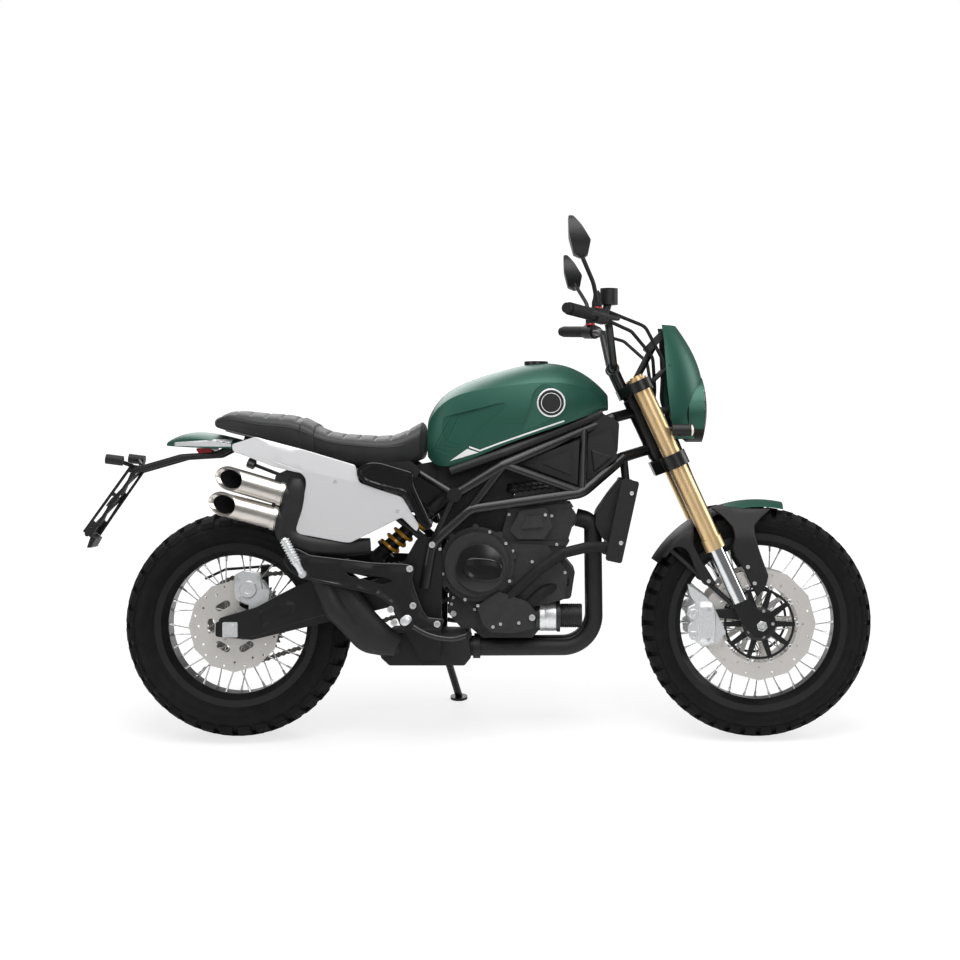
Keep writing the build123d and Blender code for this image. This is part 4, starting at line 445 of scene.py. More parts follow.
def on_skin(skin, x, z, side, lift):
    """Point on the outer skin at a place of the side view, lifted off it; side is -1 on the right."""
    hit, normal, _, _ = skin.ray_cast(Vector((x, side * RAY_START, z)), Vector((0, -side, 0)))
    if hit is None:
        return None
    if normal.y * side < 0:
        normal = -normal
    return hit + normal * lift


def along(points, gap):
    """Points along a line of the side view, no further apart than the gap, each with its direction."""
    out = []
    for start, end in zip(points, points[1:]):
        run = Vector(end) - Vector(start)
        count = max(1, int(run.length / gap))
        for step in range(count):
            out.append((Vector(start) + run * (step / count), run.normalized()))
    out.append((Vector(points[-1]), (Vector(points[-1]) - Vector(points[-2])).normalized()))
    return out


def lay(shape, skin, lines, side):
    """Sheet laid on a skin over lines of (side view place, lift); a line that misses it is left out."""
    rows = [[on_skin(skin, at.x, at.y, side, lift) for at, lift in line] for line in lines]
    rows = [row for row in rows if None not in row]
    if len(rows) > 1:
        shape.rows(rows)


def patch(shape, skin, low, high, side, lift, steps=(40, 6)):
    """Sheet between two lines of the side view, with its edges turned down to the skin."""
    lines = []
    for step in range(steps[0] + 1):
        foot, head = (Vector(line[0]).lerp(Vector(line[1]), step / steps[0]) for line in (low, high))
        end = step in (0, steps[0])
        lines.append([(foot.lerp(head, rise / steps[1]), EDGE_SINK if end or rise in (0, steps[1]) else lift)
                      for rise in range(steps[1] + 1)])
    lay(shape, skin, lines, side)


def ribbon(shape, skin, points, side, half, lift):
    """Flat line on a skin, with its edges turned down to the skin."""
    lines = []
    for at, run in along(points, 4.0):
        across = Vector((-run.y, run.x))
        lines.append([(at + across * (half * share), up) for share, up in (
            (-1.15, EDGE_SINK), (-1.0, lift), (0.0, lift), (1.0, lift), (1.15, EDGE_SINK))])
    lay(shape, skin, lines, side)


def closed(loop):
    """Line that goes round a loop and ends where it starts."""
    return loop + loop[:1]


def sides_of(loop):
    """Pairs of neighbouring corners round a loop."""
    return zip(loop, loop[1:] + loop[:1])


def inside(point, loop):
    """Whether a place of the side view lies in a loop."""
    x, z = point
    within = False
    for (ax, az), (bx, bz) in sides_of(loop):
        if (az > z) != (bz > z) and x < ax + (z - az) / (bz - az) * (bx - ax):
            within = not within
    return within


def edge_distance(point, loop):
    """Distance in the side view from a place to a loop."""
    at = Vector(point)
    best = 1e9
    for a, b in sides_of(loop):
        a, run = Vector(a), Vector(b) - Vector(a)
        share = min(1, max(0, (at - a).dot(run) / max(run.length_squared, 1e-9)))
        best = min(best, (at - a - run * share).length)
    return best


def rounded(loop, radius, steps=4):
    """Side view loop with its corners rounded."""
    out = []
    for index, corner in enumerate(loop):
        at = Vector(corner)
        back, ahead = Vector(loop[index - 1]) - at, Vector(loop[(index + 1) % len(loop)]) - at
        reach = min(radius, back.length * 0.45, ahead.length * 0.45)
        start, end = at + back.normalized() * reach, at + ahead.normalized() * reach
        for step in range(steps + 1):
            t = step / steps
            out.append(tuple(start * (1 - t) ** 2 + at * (2 * t * (1 - t)) + end * t * t))
    return out


def inset(loop, by):
    """Side view loop moved inward."""
    area = sum(a[0] * b[1] - b[0] * a[1] for a, b in sides_of(loop))
    turn = 1 if area > 0 else -1
    out = []
    for index, corner in enumerate(loop):
        run = (Vector(loop[(index + 1) % len(loop)]) - Vector(loop[index - 1])).normalized()
        out.append(tuple(Vector(corner) + Vector((-run.y, run.x)) * (turn * by)))
    return out


def pressed(shape, outline, depth_at, thickness, side, holes=(), creases=(), grid=16.0, chamfer=1.5):
    """Plate over a side view outline; depth_at gives how far its outer face stands from the middle plane."""
    points, edges = [], []
    loops = [outline] + list(holes) + ([inset(outline, chamfer)] if chamfer else [])
    for loop in loops:
        edges += [(len(points) + i, len(points) + (i + 1) % len(loop)) for i in range(len(loop))]
        points += [Vector(place) for place in loop]
    for line in creases:
        edges += [(len(points) + i, len(points) + i + 1) for i in range(len(line) - 1)]
        points += [Vector(place) for place in line]

    def solid(place):
        return inside(place, outline) and not any(inside(place, hole) for hole in holes)

    low_x, low_z = (min(place[k] for place in outline) for k in (0, 1))
    high_x, high_z = (max(place[k] for place in outline) for k in (0, 1))
    for i in range(int((high_x - low_x) / grid) + 1):
        for j in range(int((high_z - low_z) / grid) + 1):
            place = (low_x + grid * (i + 0.5), low_z + grid * (j + 0.5))
            if solid(place) and edge_distance(place, outline) > grid * 0.4:
                points.append(Vector(place))
    flat, _, triangles = delaunay_2d_cdt(points, edges, [], 0, 1e-4)[:3]
    kept = [tuple(tri) for tri in triangles if solid(sum((flat[i] for i in tri), Vector((0, 0))) / 3)]
    used = sorted({i for tri in kept for i in tri})
    number = {old: new for new, old in enumerate(used)}
    outer, inner = [], []
    for old in used:
        x, z = flat[old]
        depth = depth_at(x, z)
        if chamfer and edge_distance((x, z), outline) < chamfer * 0.5:
            depth -= chamfer
        outer.append((x, side * depth, z))
        inner.append((x, side * (depth_at(x, z) - thickness), z))
    count = len(used)
    uses = {}
    faces = []
    for tri in kept:
        a, b, c = (number[i] for i in tri)
        faces += [(a, b, c), (count + c, count + b, count + a)]
        for edge in ((a, b), (b, c), (c, a)):
            key = (min(edge), max(edge))
            uses[key] = uses.get(key, 0) + 1
    faces += [(a, b, count + b, count + a) for (a, b), times in uses.items() if times == 1]
    shape.add(outer + inner, faces)


def limb(shape, path, wide, deep, sides=20, steps=6):
    """Rounded limb along a path: half widths in the side view, and half depths across it."""
    line = smooth_line([Vector((*point, w, d)) for point, w, d in zip(path, wide, deep)], steps)
    rows = []
    for index, at in enumerate(line):
        ahead, back = line[min(index + 1, len(line) - 1)], line[max(index - 1, 0)]
        run = Vector((ahead[0] - back[0], 0, ahead[2] - back[2])).normalized()
        across = Vector((-run.z, 0, run.x))
        rows.append([Vector(at[:3]) + across * (at[3] * signed_power(cos(a), 0.75))
                     + LEFT * (at[4] * signed_power(sin(a), 0.75)) for a in turns(sides)])
    shape.barrel(rows)


SPOKES = 36
# Turn of a spoke between its two ends
SPOKE_TURN = radians(30)
RIM_DEPTH = 35
VALVE_ANGLE = radians(232)


def dress_wheel(body, axle, rim_r, rim_half, tyre_r, tyre_half):
    """Spoke nipples and heads, valve, and the moulded rings of the tyre's sidewalls."""
    rim_in = rim_r - RIM_DEPTH
    bright = Shape()
    flange_r, flange_y = HUB_FLANGES[body]
    for index, angle in enumerate(turns(SPOKES)):
        side = 1 if index % 2 else -1
        turn = 1 if (index // 2) % 2 else -1
        root = angle + turn * SPOKE_TURN
        end = round_axle(axle, angle, rim_in - 0.5, side * rim_half * 0.4)
        start = round_axle(axle, root, flange_r, side * flange_y)
        run = (end - start).normalized()
        bright.lathe(end - run * 15, run, [(2.4, 0), (3.1, 2), (3.1, 11), (4.4, 13), (4.4, 15)], 8)
        # Bent head of the spoke in the hub's flange
        bright.lathe(start + LEFT * (side * 3.2), LEFT * side, [(3.4, 0), (3.4, 1.2), (2.2, 2.4)], 8)
    valve = round_axle(axle, VALVE_ANGLE, rim_in + 1, 0)
    inward = (axle - valve).normalized()
    bright.lathe(valve, inward, [(6, -2), (6, 3), (3.6, 5), (3.6, 26), (4.4, 27), (4.4, 36), (3.4, 38)], 12)
    bright.make(body + "_nipples", "spoke_steel", body)
    rings = Shape()
    lip = rim_r + 1
    wide = (rim_r + tyre_r) / 2
    for share, wire, out in ((0.16, 2.1, rim_half + (tyre_half - 6 - rim_half) * 0.32),
                             (0.55, 1.8, tyre_half - 5.4)):
        for side in (-1, 1):
            rings.ring((axle.x, side * out, axle.z), LEFT, lip + (wide - lip) * share * 1.1, wire, 96, 8)
    rings.make(body + "_sidewall_rings", "tyre", body)


dress_wheel("rear_wheel", REAR_AXLE, 232, 58, 321, 85)
dress_wheel("front_wheel", FRONT_AXLE, 254, 44, 328, 60)


# Side view places on the tank, X and Z
PINSTRIPE = [(928.6, 902.1), (748.6, 839.7), (693.1, 818.8), (663.6, 829.4)]
WEDGE = [(658.7, 824.1), (689.8, 813.8), (608.5, 789.6)]
CHEVRONS = ([(610, 914), (560, 821), (605, 805)], [(619, 916), (574, 830), (615, 819)],
            [(626, 918), (586, 840), (627, 830)], [(632, 919), (598, 850), (639, 838)])
BADGE_AT = (892, 952)
BADGE_R = 40


def dress_tank():
    """Pinstripe with its wedge, knee ribs and the bare roundel."""
    skin = skin_of("fuel_tank", "tank_trim")
    tank = skin_of("fuel_tank")
    stripe, ribs, rings, discs = Shape(), Shape(), Shape(), Shape()
    for side in (-1, 1):
        ribbon(stripe, skin, PINSTRIPE, side, 2.0, 0.5)
        tip = Vector(WEDGE[2])
        lines = []
        for step in range(13):
            low, high = (Vector(corner).lerp(tip, step / 12 * 0.98) for corner in (WEDGE[1], WEDGE[0]))
            lines.append([(low.lerp(high, part), 0.6) for part in (0, 0.25, 0.5, 0.75, 1)])
        lay(stripe, skin, lines, side)
        for line in CHEVRONS:
            ribbon(ribs, tank, line, side, 2.6, 1.3)
        axis = Vector((0.07, side, 0)).normalized()
        face = on_skin(tank, *BADGE_AT, side, 0)
        rings.lathe(face, axis, [(BADGE_R, -3), (BADGE_R, 1.6), (BADGE_R - 0.8, 2.4), (BADGE_R - 4.2, 2.4),
                                 (BADGE_R - 5, 0.8), (BADGE_R - 5, -3)], 64, False)
        rings.lathe(face, axis, [(BADGE_R - 12, 1), (BADGE_R - 12, 2.2), (BADGE_R - 13.6, 2.2),
                                 (BADGE_R - 13.6, 1)], 64, False)
        discs.lathe(face, axis, [(BADGE_R - 4.5, 0.2), (BADGE_R - 4.6, 1.3), (0, 1.9)], 64)
    stripe.make("tank_pinstripe", "stripe_white", "chassis", "silver_paint")
    ribs.make("knee_ribs", "green_paint", "chassis")
    rings.make("roundel_rings", "bright_alloy", "chassis")
    discs.make("roundel_discs", "black_plastic", "chassis")


dress_tank()


# Saddle: X, underside, shoulder, crown, half width below, half width at the shoulder
SADDLE = ((-64, 888, 898, 908, 70, 78), (-10, 872, 905, 931, 92, 100), (80, 850, 890, 926, 104, 112),
          (172, 822, 880, 916, 110, 118), (262, 794, 845, 876, 116, 124), (350, 776, 832, 864, 124, 134),
          (450, 772, 828, 866, 112, 122), (538, 800, 850, 908, 70, 78))
PLEAT_GAP = 44.0
PLEAT_DEPTH = 3.6
PLEAT_HALF = 8
STRAP_X = (190.0, 229.0)
STRAP_LIFT = 5.0
# The saddle's ends are tucked in over this length
TUCK = 16
FLANK = (0.05, 0.25, 0.5, 0.75, 0.95)


def saddle_at(x):
    """Sizes of the saddle's section at a place along it."""
    index = max(i for i in range(len(SADDLE) - 1) if SADDLE[i][0] <= x or i == 0)
    a, b = SADDLE[index], SADDLE[index + 1]
    before, after = SADDLE[max(index - 1, 0)], SADDLE[min(index + 2, len(SADDLE) - 1)]
    span = b[0] - a[0]
    t = (x - a[0]) / span
    sizes = []
    for k in range(1, 6):
        leave = (b[k] - before[k]) / (b[0] - before[0]) * span
        reach = (after[k] - a[k]) / (after[0] - a[0]) * span
        sizes.append((2 * t ** 3 - 3 * t * t + 1) * a[k] + (t ** 3 - 2 * t * t + t) * leave
                     + (3 * t * t - 2 * t ** 3) * b[k] + (t ** 3 - t * t) * reach)
    return sizes


def saddle_row(x):
    """Closed section of the saddle: underside, sides and pleated crown."""
    bottom, shoulder, top, low, high = saddle_at(x)
    first, last = SADDLE[0][0], SADDLE[-1][0]
    near_end = min(x - first, last - x)
    tuck = sqrt(max(0, 1 - (1 - min(1, near_end / TUCK)) ** 2)) if near_end < TUCK else 1
    pleat = abs((x - first) % PLEAT_GAP - PLEAT_GAP / 2)
    valley = -PLEAT_DEPTH * (1 - min(1, pleat / PLEAT_HALF)) ** 1.5
    strapped = min(1, max(0, min(x - STRAP_X[0], STRAP_X[1] - x) / 2 + 0.5))
    row = [(low * share, bottom, 0) for share in (-0.95, -0.5, 0, 0.5, 0.95)]
    flank = [(low + (high - low) * share + 3 * sin(pi * share), bottom + (shoulder - bottom) * share)
             for share in FLANK]
    row += [(y, z, 1) for y, z in flank]
    for step in range(33):
        angle = pi * step / 32
        y = high * cos(angle)
        z = shoulder + (top - shoulder) * sin(angle) ** 0.75
        weight = min(1, max(0, (0.9 - abs(cos(angle))) * 8))
        row.append((y, z + (1 - strapped) * weight * (valley + 0.6), 1))
    row += [(-y, z, 1) for y, z in reversed(flank)]
    middle = (bottom + top) / 2
    points = []
    for y, z, outer in row:
        lift = STRAP_LIFT * strapped * outer
        out = Vector((y / high, (z - middle) / max(1, top - middle)))
        out = out.normalized() * lift if out.length > 0 else out
        points.append((x, (y + out.x) * (0.25 + 0.75 * tuck),
                       middle + (z + out.y - middle) * (0.2 + 0.8 * tuck)))
    return points


def dress_saddle():
    """Pleated saddle with its strap, a seam along each shoulder and the rail under its edge."""
    first, last = SADDLE[0][0], SADDLE[-1][0]
    count = int((last - first) / 2)
    skin = Shape()
    skin.barrel([saddle_row(first + (last - first) * step / count) for step in range(count + 1)])
    saddle = skin.make("saddle_skin", "saddle_leather", "chassis", angle=60)
    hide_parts("saddle")
    seam, rail = Shape(), Shape()
    for side in (-1, 1):
        line, low_line = [], []
        for x in range(-40, 500, 18):
            bottom, shoulder, _, low, high = saddle_at(x)
            lift = STRAP_LIFT if STRAP_X[0] < x < STRAP_X[1] else 0.4
            line.append((x, side * (high + lift - 0.6), shoulder + 1))
            if -30 < x < 330:
                low_line.append((x, side * (low + 1.0), bottom + 1.0))
        seam.tube(line, 1.7, 8, 3)
        rail.tube(low_line, 3.4, 8, 3)
    seam.make("saddle_seams", "saddle_leather", "chassis")
    rail.make("saddle_rail", "dark_grey", "chassis", "black_plastic")


dress_saddle()


# Silencer tips: side view ends of each axis, and sizes
TIP_RUNS = (((158, 697), (-40, 755)), ((139, 631), (-59, 684)))
TIP_Y = -176
TIP_R = 33
TIP_BORE = 25.5
TIP_SLASH = 86
TIP_SIDES = 64


def dress_tips():
    """Slash-cut tips: the outer side is shorter, so that the bores show from the right."""
    tube, bore = Shape(), Shape()
    for (x0, z0), (x1, z1) in TIP_RUNS:
        start = Vector((x0, TIP_Y, z0))
        run = Vector((x1, TIP_Y, z1)) - start
        axis = run.normalized()
        up = LEFT.cross(axis)

        def circle(radius, reach):
            """Ring of points round the axis, each as far along it as the reach gives for its side."""
            return [start + axis * reach(cos(a)) + (LEFT * cos(a) + up * sin(a)) * radius
                    for a in turns(TIP_SIDES)]

        def cut(side):
            return run.length - 1 - TIP_SLASH * (1 - side) / 2

        tube.rows([circle(TIP_R, lambda side: -3), circle(TIP_R, lambda side: cut(side) - 1.2),
                   circle(TIP_R - 1.2, cut), circle(TIP_BORE + 1, cut),
                   circle(TIP_BORE, lambda side: cut(side) - 1.5),
                   circle(TIP_BORE, lambda side: cut(side) - 14)],
                  closed=True)
        bore.rows([circle(TIP_BORE, lambda side: cut(side) - 14), circle(TIP_BORE - 0.5, lambda side: 10),
                   circle(0.5, lambda side: 10)], closed=True)
        tube.lathe(start, axis, [(TIP_R + 1, 2), (TIP_R + 3.2, 3), (TIP_R + 3.2, 15), (TIP_R + 1, 16)], 48)
    tips = tube.make("slash_cut_tips", "brushed_tip", "chassis")
    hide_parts("silencer_tips")
    bore.make("tip_bores", "soot", "chassis", "exhaust_black")


dress_tips()


# Side panel: flat lower part, and an upper band that leans in above a bend line
PANEL = [(10, 836), (76, 857), (217, 820), (354, 779), (365, 731), (483, 691), (530, 613), (522, 596),
         (481, 636), (340, 566), (324, 567), (197, 590), (190, 604), (219, 722), (218, 742), (206, 757),
         (190, 760), (124, 776), (65, 799), (15, 816)]
PANEL_BEND = [(12, 826), (124, 792), (224, 760), (362, 732)]
PANEL_Y = 199
PANEL_LEAN = 0.12
# The upper band ends at this X
PANEL_BAND_END = 366
# The panel turns in towards the tail, behind this X
PANEL_TOE_X = 140
PANEL_TOE = 0.16
PANEL_STUDS = ((300, 764), (80, 812), (470, 664))
PANEL_BOLTS = ((300, 735), (470, 655))
COVER = [(388, 786), (420, 786), (515, 758), (512, 728), (565, 613), (556, 600), (535, 612), (490, 700),
         (420, 716), (379, 730), (359, 750), (360, 770)]
COVER_Y = 201.5
COVER_RIM_Y = 205.5
REST_PLATE = [(158, 518), (168, 545), (196, 552), (232, 533), (400, 513), (494, 509), (518, 502), (511, 468),
              (518, 440), (539, 384), (553, 363), (600, 358), (588, 330), (483, 331), (469, 363), (449, 401),
              (410, 426), (344, 440), (207, 470), (176, 492)]
REST_SLOT = [(326, 487), (449, 470), (459, 462), (431, 453), (337, 476)]
REST_Y = 213.5
REST_LIP_Y = 216
REST_STUDS = ((494, 484), (505, 346))
REST_BOLTS = ((505, 496), (514, 395), (453, 385), (462, 349), (580, 345))
ARM = [(-34, 352), (67, 381), (137, 417), (201, 452), (238, 470), (300, 462), (330, 440), (330, 372),
       (275, 362), (210, 345), (67, 299), (26, 297), (-30, 301)]
ARM_PANEL = [(80, 372), (155, 402), (186, 398), (178, 366), (86, 328)]
ARM_Y = 139.5
ARM_PANEL_Y = 136.5
REAR_CALIPER = [(10, 400), (2, 428), (4, 470), (31, 484), (77, 476), (84, 431), (92, 392), (60, 378)]
REAR_CALIPER_FOOT = 432
REAR_CALIPER_BOLTS = ((14, 460), (74, 464), (20, 404))
REAR_PISTON = (44, 430)
# Rear end of the rod that hangs the silencer
SILENCER_ROD_END = (62, -160, 783)


def panel_depth(x, z):
    """How far the side panel stands out: it leans in above the bend, and turns in towards the tail."""
    for (ax, az), (bx, bz) in zip(PANEL_BEND, PANEL_BEND[1:]):
        if x <= bx or bx == PANEL_BEND[-1][0]:
            bend = az + (bz - az) * (x - ax) / (bx - ax)
            break
    rise = z - bend if x < PANEL_BAND_END else 0
    return PANEL_Y - max(0, rise) * PANEL_LEAN - max(0, PANEL_TOE_X - x) * PANEL_TOE


def dress_rear():
    """Side panels and covers, footrest plates, arm shells, the rear caliper's face, and their bolts."""
    panel, cover, rest, arm, bolts, caliper = (Shape() for _ in range(6))
    for side in (-1, 1):
        pressed(panel, rounded(PANEL, 8), panel_depth, 4, side, creases=[PANEL_BEND], grid=14)
        for x, z in PANEL_STUDS:
            panel.rod((x, side * 110, z), (x, side * (panel_depth(x, z) - 3), z), 7)
        edge = rounded(COVER, 16)
        pressed(cover, edge, lambda x, z: COVER_RIM_Y if edge_distance((x, z), edge) < 10 else COVER_Y,
                46, side, creases=[closed(inset(edge, 9)), closed(inset(edge, 13))], grid=10)
        plate = rounded(REST_PLATE, 7)
        pressed(rest, plate, lambda x, z: REST_LIP_Y if edge_distance((x, z), plate) < 7 else REST_Y,
                11, side, holes=[rounded(REST_SLOT, 6)], creases=[closed(inset(plate, 6))], grid=12)
        for x, z in REST_STUDS:
            rest.rod((x, side * 152, z), (x, side * 205, z), 11)
        for x, z in REST_BOLTS:
            bolts.bolt((x, side * (REST_Y - 0.5), z), (0, side, 0), 9.5, 8)
        inner = rounded(ARM_PANEL, 9)
        lower = inset(inner, 3)
        pressed(arm, rounded(ARM, 9), lambda x, z: ARM_PANEL_Y if inside((x, z), lower) else ARM_Y, 27, side,
                creases=[closed(inner), closed(lower)], grid=14, chamfer=4)
        for x, z in PANEL_BOLTS:
            bolts.bolt((x, side * (PANEL_Y - 0.5), z), (0, side, 0), 5, 3)
    piece = panel.make("side_panels", "silver_paint", "chassis", angle=24)
    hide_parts("side_plates")
    cover.make("side_cover_ovals", "gloss_black", "chassis", "black_plastic")
    piece = rest.make("footrest_hangers", "black_paint", "chassis")
    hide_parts("footrest_plates")
    arm.make("swingarm_shells", "black_paint", "chassis", angle=28)
    face = max(abs(at.y) for at in points_of("rear_caliper") if at.z > REAR_CALIPER_FOOT)
    pressed(caliper, rounded(REAR_CALIPER, 7), lambda x, z: face + 1, 12, -1, grid=10, chamfer=2.5)
    caliper.lathe((REAR_PISTON[0], -face, REAR_PISTON[1]), RIGHT,
                  [(25, 0), (25, 5), (22, 8), (12, 8), (11, 5), (0, 5)], 32)
    caliper.make("rear_caliper_face", "bright_alloy", "chassis")
    for x, z in REAR_CALIPER_BOLTS:
        bolts.bolt((x, -face, z), RIGHT, 6.5, 6)
    bolts.make("rear_bolts", "bright_bolt", "chassis", "bright_alloy")


PEG_X = 498
PEG_SLOPE = 0.05
CLEATS = 9


def dress_pegs():
    """Cleated pegs for rider and passenger, brake pedal and gear lever."""
    bright, black = Shape(), Shape()
    for side in (-1, 1):
        out = (0, side, PEG_SLOPE)
        bright.lathe((PEG_X, side * 213, 357), out, [(13, 0), (13, 10), (9, 12), (9, 20)], 16)
        for step in range(CLEATS):
            bright.lathe((PEG_X, side * (236 + 7.4 * step), 358.5 + 0.37 * step), out,
                         [(8, -3.7), (12.5, -2.2), (12.5, 1.2), (8, 2.6)], 12)
        start, end = Vector((212, side * 229, 486)), Vector((160, side * 229, 583))
        run = (end - start).normalized()
        bright.rod((214, side * 214, 482), (214, side * 236, 482), 10, 16)
        bright.lathe(start, run, [(7, -4), (9, 0), (9, 22), (11, 26), (11, 100), (7, 106)], 14)
        for step in range(CLEATS):
            at = start + run * (32 + step * 8)
            bright.lathe(at, run, [(10, 0), (14, 1.5), (14, 4.5), (10, 6)], 10)
        black.tube([(505, side * 221, 344), (560, side * 226, 316), (620, side * 228, 306),
                    (668, side * 228, 318)], 7, 12)
        black.rod((505, side * 214, 344), (505, side * 230, 344), 12, 18)
        black.rod((668, side * 224, 318), (668, side * 272, 318), 8, 14)
    piece = bright.make("cleated_pegs", "bright_alloy", "chassis")
    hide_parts("foot_controls")
    black.make("foot_levers", "black_paint", "chassis")


def dress_silencer():
    """Rounded silencer body round the tips' roots, its forward run, and the rod that hangs it."""
    body, rod = Shape(), Shape()
    limb(body, [(192, TIP_Y, 742), (190, TIP_Y, 716), (182, TIP_Y, 672), (168, TIP_Y, 626), (164, TIP_Y, 596),
                (190, TIP_Y, 570), (250, TIP_Y, 556), (320, TIP_Y + 4, 552), (392, TIP_Y + 10, 556)],
         [20, 30, 33, 33, 32, 29, 26, 25, 22], [26, 35, 37, 37, 36, 34, 30, 24, 16], 24)
    # Chamber that rises from the belly, outside the arm
    limb(body, [(468, -158, 278), (420, -162, 300), (372, -165, 336), (334, -165, 384), (298, -165, 436),
                (282, -165, 470)], [30, 42, 50, 50, 44, 34], [20, 27, 30, 30, 28, 22], 24)
    body.make("silencer_shell", "exhaust_black", "chassis", angle=50)
    rod.rod(SILENCER_ROD_END, (214, -160, 724), 5, 12)
    rod.lathe(SILENCER_ROD_END, (0.93, 0, -0.36), [(13, -10), (14, -8), (14, 10), (8, 13)], 8)
    rod.lathe((196, -150, 747), RIGHT, [(20, 0), (20, 30), (17, 33), (10, 33), (9, 26), (0, 26)], 28)
    rod.rod(SILENCER_ROD_END, (70, -92, 842), 6, 10)
    rod.make("silencer_hanger", "black_paint", "chassis")


dress_rear()
dress_pegs()
dress_silencer()


# Side view places on the engine's right side
SMALL_BOLTS = ((584, 546), (721, 592), (785, 538), (839, 508), (931, 478), (908, 556), (774, 640), (876, 640),
               (894, 636), (688, 387), (677, 372), (617, 405), (612, 387), (730, 328), (751, 336), (802, 339),
               (637, 596), (590, 475), (600, 425), (652, 404), (766, 560), (776, 455))
BIG_BOLTS = ((839, 354), (617, 360), (563, 559))
RADIATOR_BOLTS = ((1116, 700), (1086, 562))
AIRBOX = [(578, 785), (770, 840), (1030, 928), (1085, 900), (1080, 813), (990, 724), (963, 690), (905, 716),
          (790, 700), (770, 655), (766, 600), (740, 575), (700, 588), (640, 588), (600, 560), (585, 600),
          (565, 686)]
AIRBOX_PANELS = ([(842, 766), (890, 787), (944, 808), (944, 736)], [(1004, 822), (1066, 802), (1012, 757)])
FAN = [(1020, 645), (1058, 700), (1092, 742), (1100, 704), (1068, 556), (1036, 570), (1016, 612)]
UNDERSEAT = [(450, 768), (568, 790), (625, 767), (600, 706), (577, 672), (520, 650), (470, 700)]
# Boxes from side to side: outline and half width
BOXES = ((AIRBOX, 78), (UNDERSEAT, 66), (FAN, 92))
# Oil filter: Y and Z of its axis
FILTER_AXIS = (-58, 352)
CLUTCH_R = 66
OVAL_AT = (702, 490)


def dress_engine():
    """Airbox, tray, fan shroud, bright screws, filter band and ribs, and the clutch cover's face, its disc
    darkened as painted shade.
    """
    black, bolts, silver, ribs, gloss = (Shape() for _ in range(5))
    for outline, half in BOXES:
        pressed(black, rounded(outline, 10), lambda x, z: half, 2 * half, 1, grid=60, chamfer=5)
    for outline in AIRBOX_PANELS:
        for side in (-1, 1):
            pressed(black, rounded(outline, 8), lambda x, z: 95, 20, side, grid=20, chamfer=3)
    # Ribbed boots under the airbox
    for side in (-1, 1):
        for step in range(6):
            at = Vector((790 + 18 * step, side * 74, 706 + 2 * step))
            black.lathe(at, (0.15, 0, 1), [(22, -6), (25, 0), (22, 6), (25, 12), (22, 18)], 18)
    black.make("airbox", "black_plastic", "chassis")
    skin = skin_of("engine_covers", "engine", "frame", "coolant_hoses")
    bolts.screws(skin, SMALL_BOLTS, -1, 4.6, 5, 40)
    bolts.screws(skin, BIG_BOLTS, -1, 9, 8, 40)
    left_cover = [(790 + 76 * cos(a + 0.3), 470 + 76 * sin(a + 0.3)) for a in turns(9)]
    bolts.screws(skin, left_cover, 1, 4.6, 5, 60)
    for side in (-1, 1):
        bolts.screws(skin_of("radiator"), RADIATOR_BOLTS, side, 6, 5)
    bolts.make("engine_screws", "bright_bolt", "chassis", "bright_alloy")
    silver.lathe((860, *FILTER_AXIS), FORWARD, [(42.4, 0), (43.2, 1), (43.2, 14), (42.2, 16), (43.2, 18),
                                                 (43.2, 46), (42.4, 47)], 48, False)
    silver.make("filter_band", "bright_alloy", "chassis")
    for step in range(10):
        ribs.lathe((921 + 5.6 * step, *FILTER_AXIS), FORWARD,
                   [(33, 0), (34.4, 1), (34.4, 3), (33, 4)], 40, False)
    ribs.make("filter_ribs", "black_plastic", "chassis")
    # Gloss black disc and bare oval of the clutch cover; the disc's darker colour is painted shade
    covers = skin_of("engine_covers")
    face = on_skin(covers, 700, 460, -1, 0)
    gloss.lathe((693, face.y, 494), RIGHT,
                [(CLUTCH_R, -1), (CLUTCH_R, 0.4), (CLUTCH_R - 2, 1.2), (0, 1.2)], 64)
    oval = [(OVAL_AT[0] + 54 * signed_power(cos(a), 0.8) + 3 * sin(a),
             OVAL_AT[1] + 30 * signed_power(sin(a), 0.7) - 6 * cos(a)) for a in turns(40)]
    deepest = min(on_skin(covers, *OVAL_AT, -1, 0).y, face.y - 1)
    pressed(gloss, oval, lambda x, z: -deepest + (3.4 if edge_distance((x, z), oval) < 6 else 1.2), 14, -1,
            creases=[closed(inset(oval, 5))], grid=10)
    gloss.make("clutch_cover_face", "gloss_black", "chassis", "engine_black")


dress_engine()


GUARD_FRONT = [(1342, 656), (1375, 662), (1440, 656), (1516, 655), (1487, 632), (1465, 607), (1465, 579),
               (1485, 518), (1504, 467), (1497, 439), (1473, 406), (1457, 434), (1436, 481), (1412, 518),
               (1401, 546), (1409, 574), (1404, 602), (1375, 634)]
GUARD_REAR = [(1204, 520), (1226, 552), (1260, 588), (1296, 608), (1295, 588), (1293, 556), (1317, 509),
              (1349, 457), (1357, 443), (1333, 438), (1319, 444), (1300, 481), (1277, 537), (1259, 550),
              (1238, 546), (1214, 518)]
GUARD_BOLTS = ((1445, 492), (1464, 446), (1335, 452))
CALIPER = [(1276, 445), (1317, 417), (1351, 389), (1355, 338), (1350, 277), (1317, 266), (1299, 282),
           (1278, 305), (1276, 329), (1294, 342), (1274, 356), (1275, 379), (1299, 389), (1280, 417)]
CALIPER_STEP = 1308
PISTON = [(13, 0), (13, 5), (11, 7), (6, 7), (5, 4), (0, 4)]
LAMP_Z = 935
INDICATOR_AT = (1281, 132, 876)
CARRIER_ARMS = 10
CARRIER_Y = 73.2
BUTTON_R = 108
BUTTON = [(7.5, -1), (7.5, 1.8), (6, 2.6), (3.4, 2.6), (3, 1.4), (0, 1.4)]


def guard_depth(_, z):
    """How far a fender leg stands out: it leans in towards the fender."""
    return 94 - max(0, z - 575) * 0.32


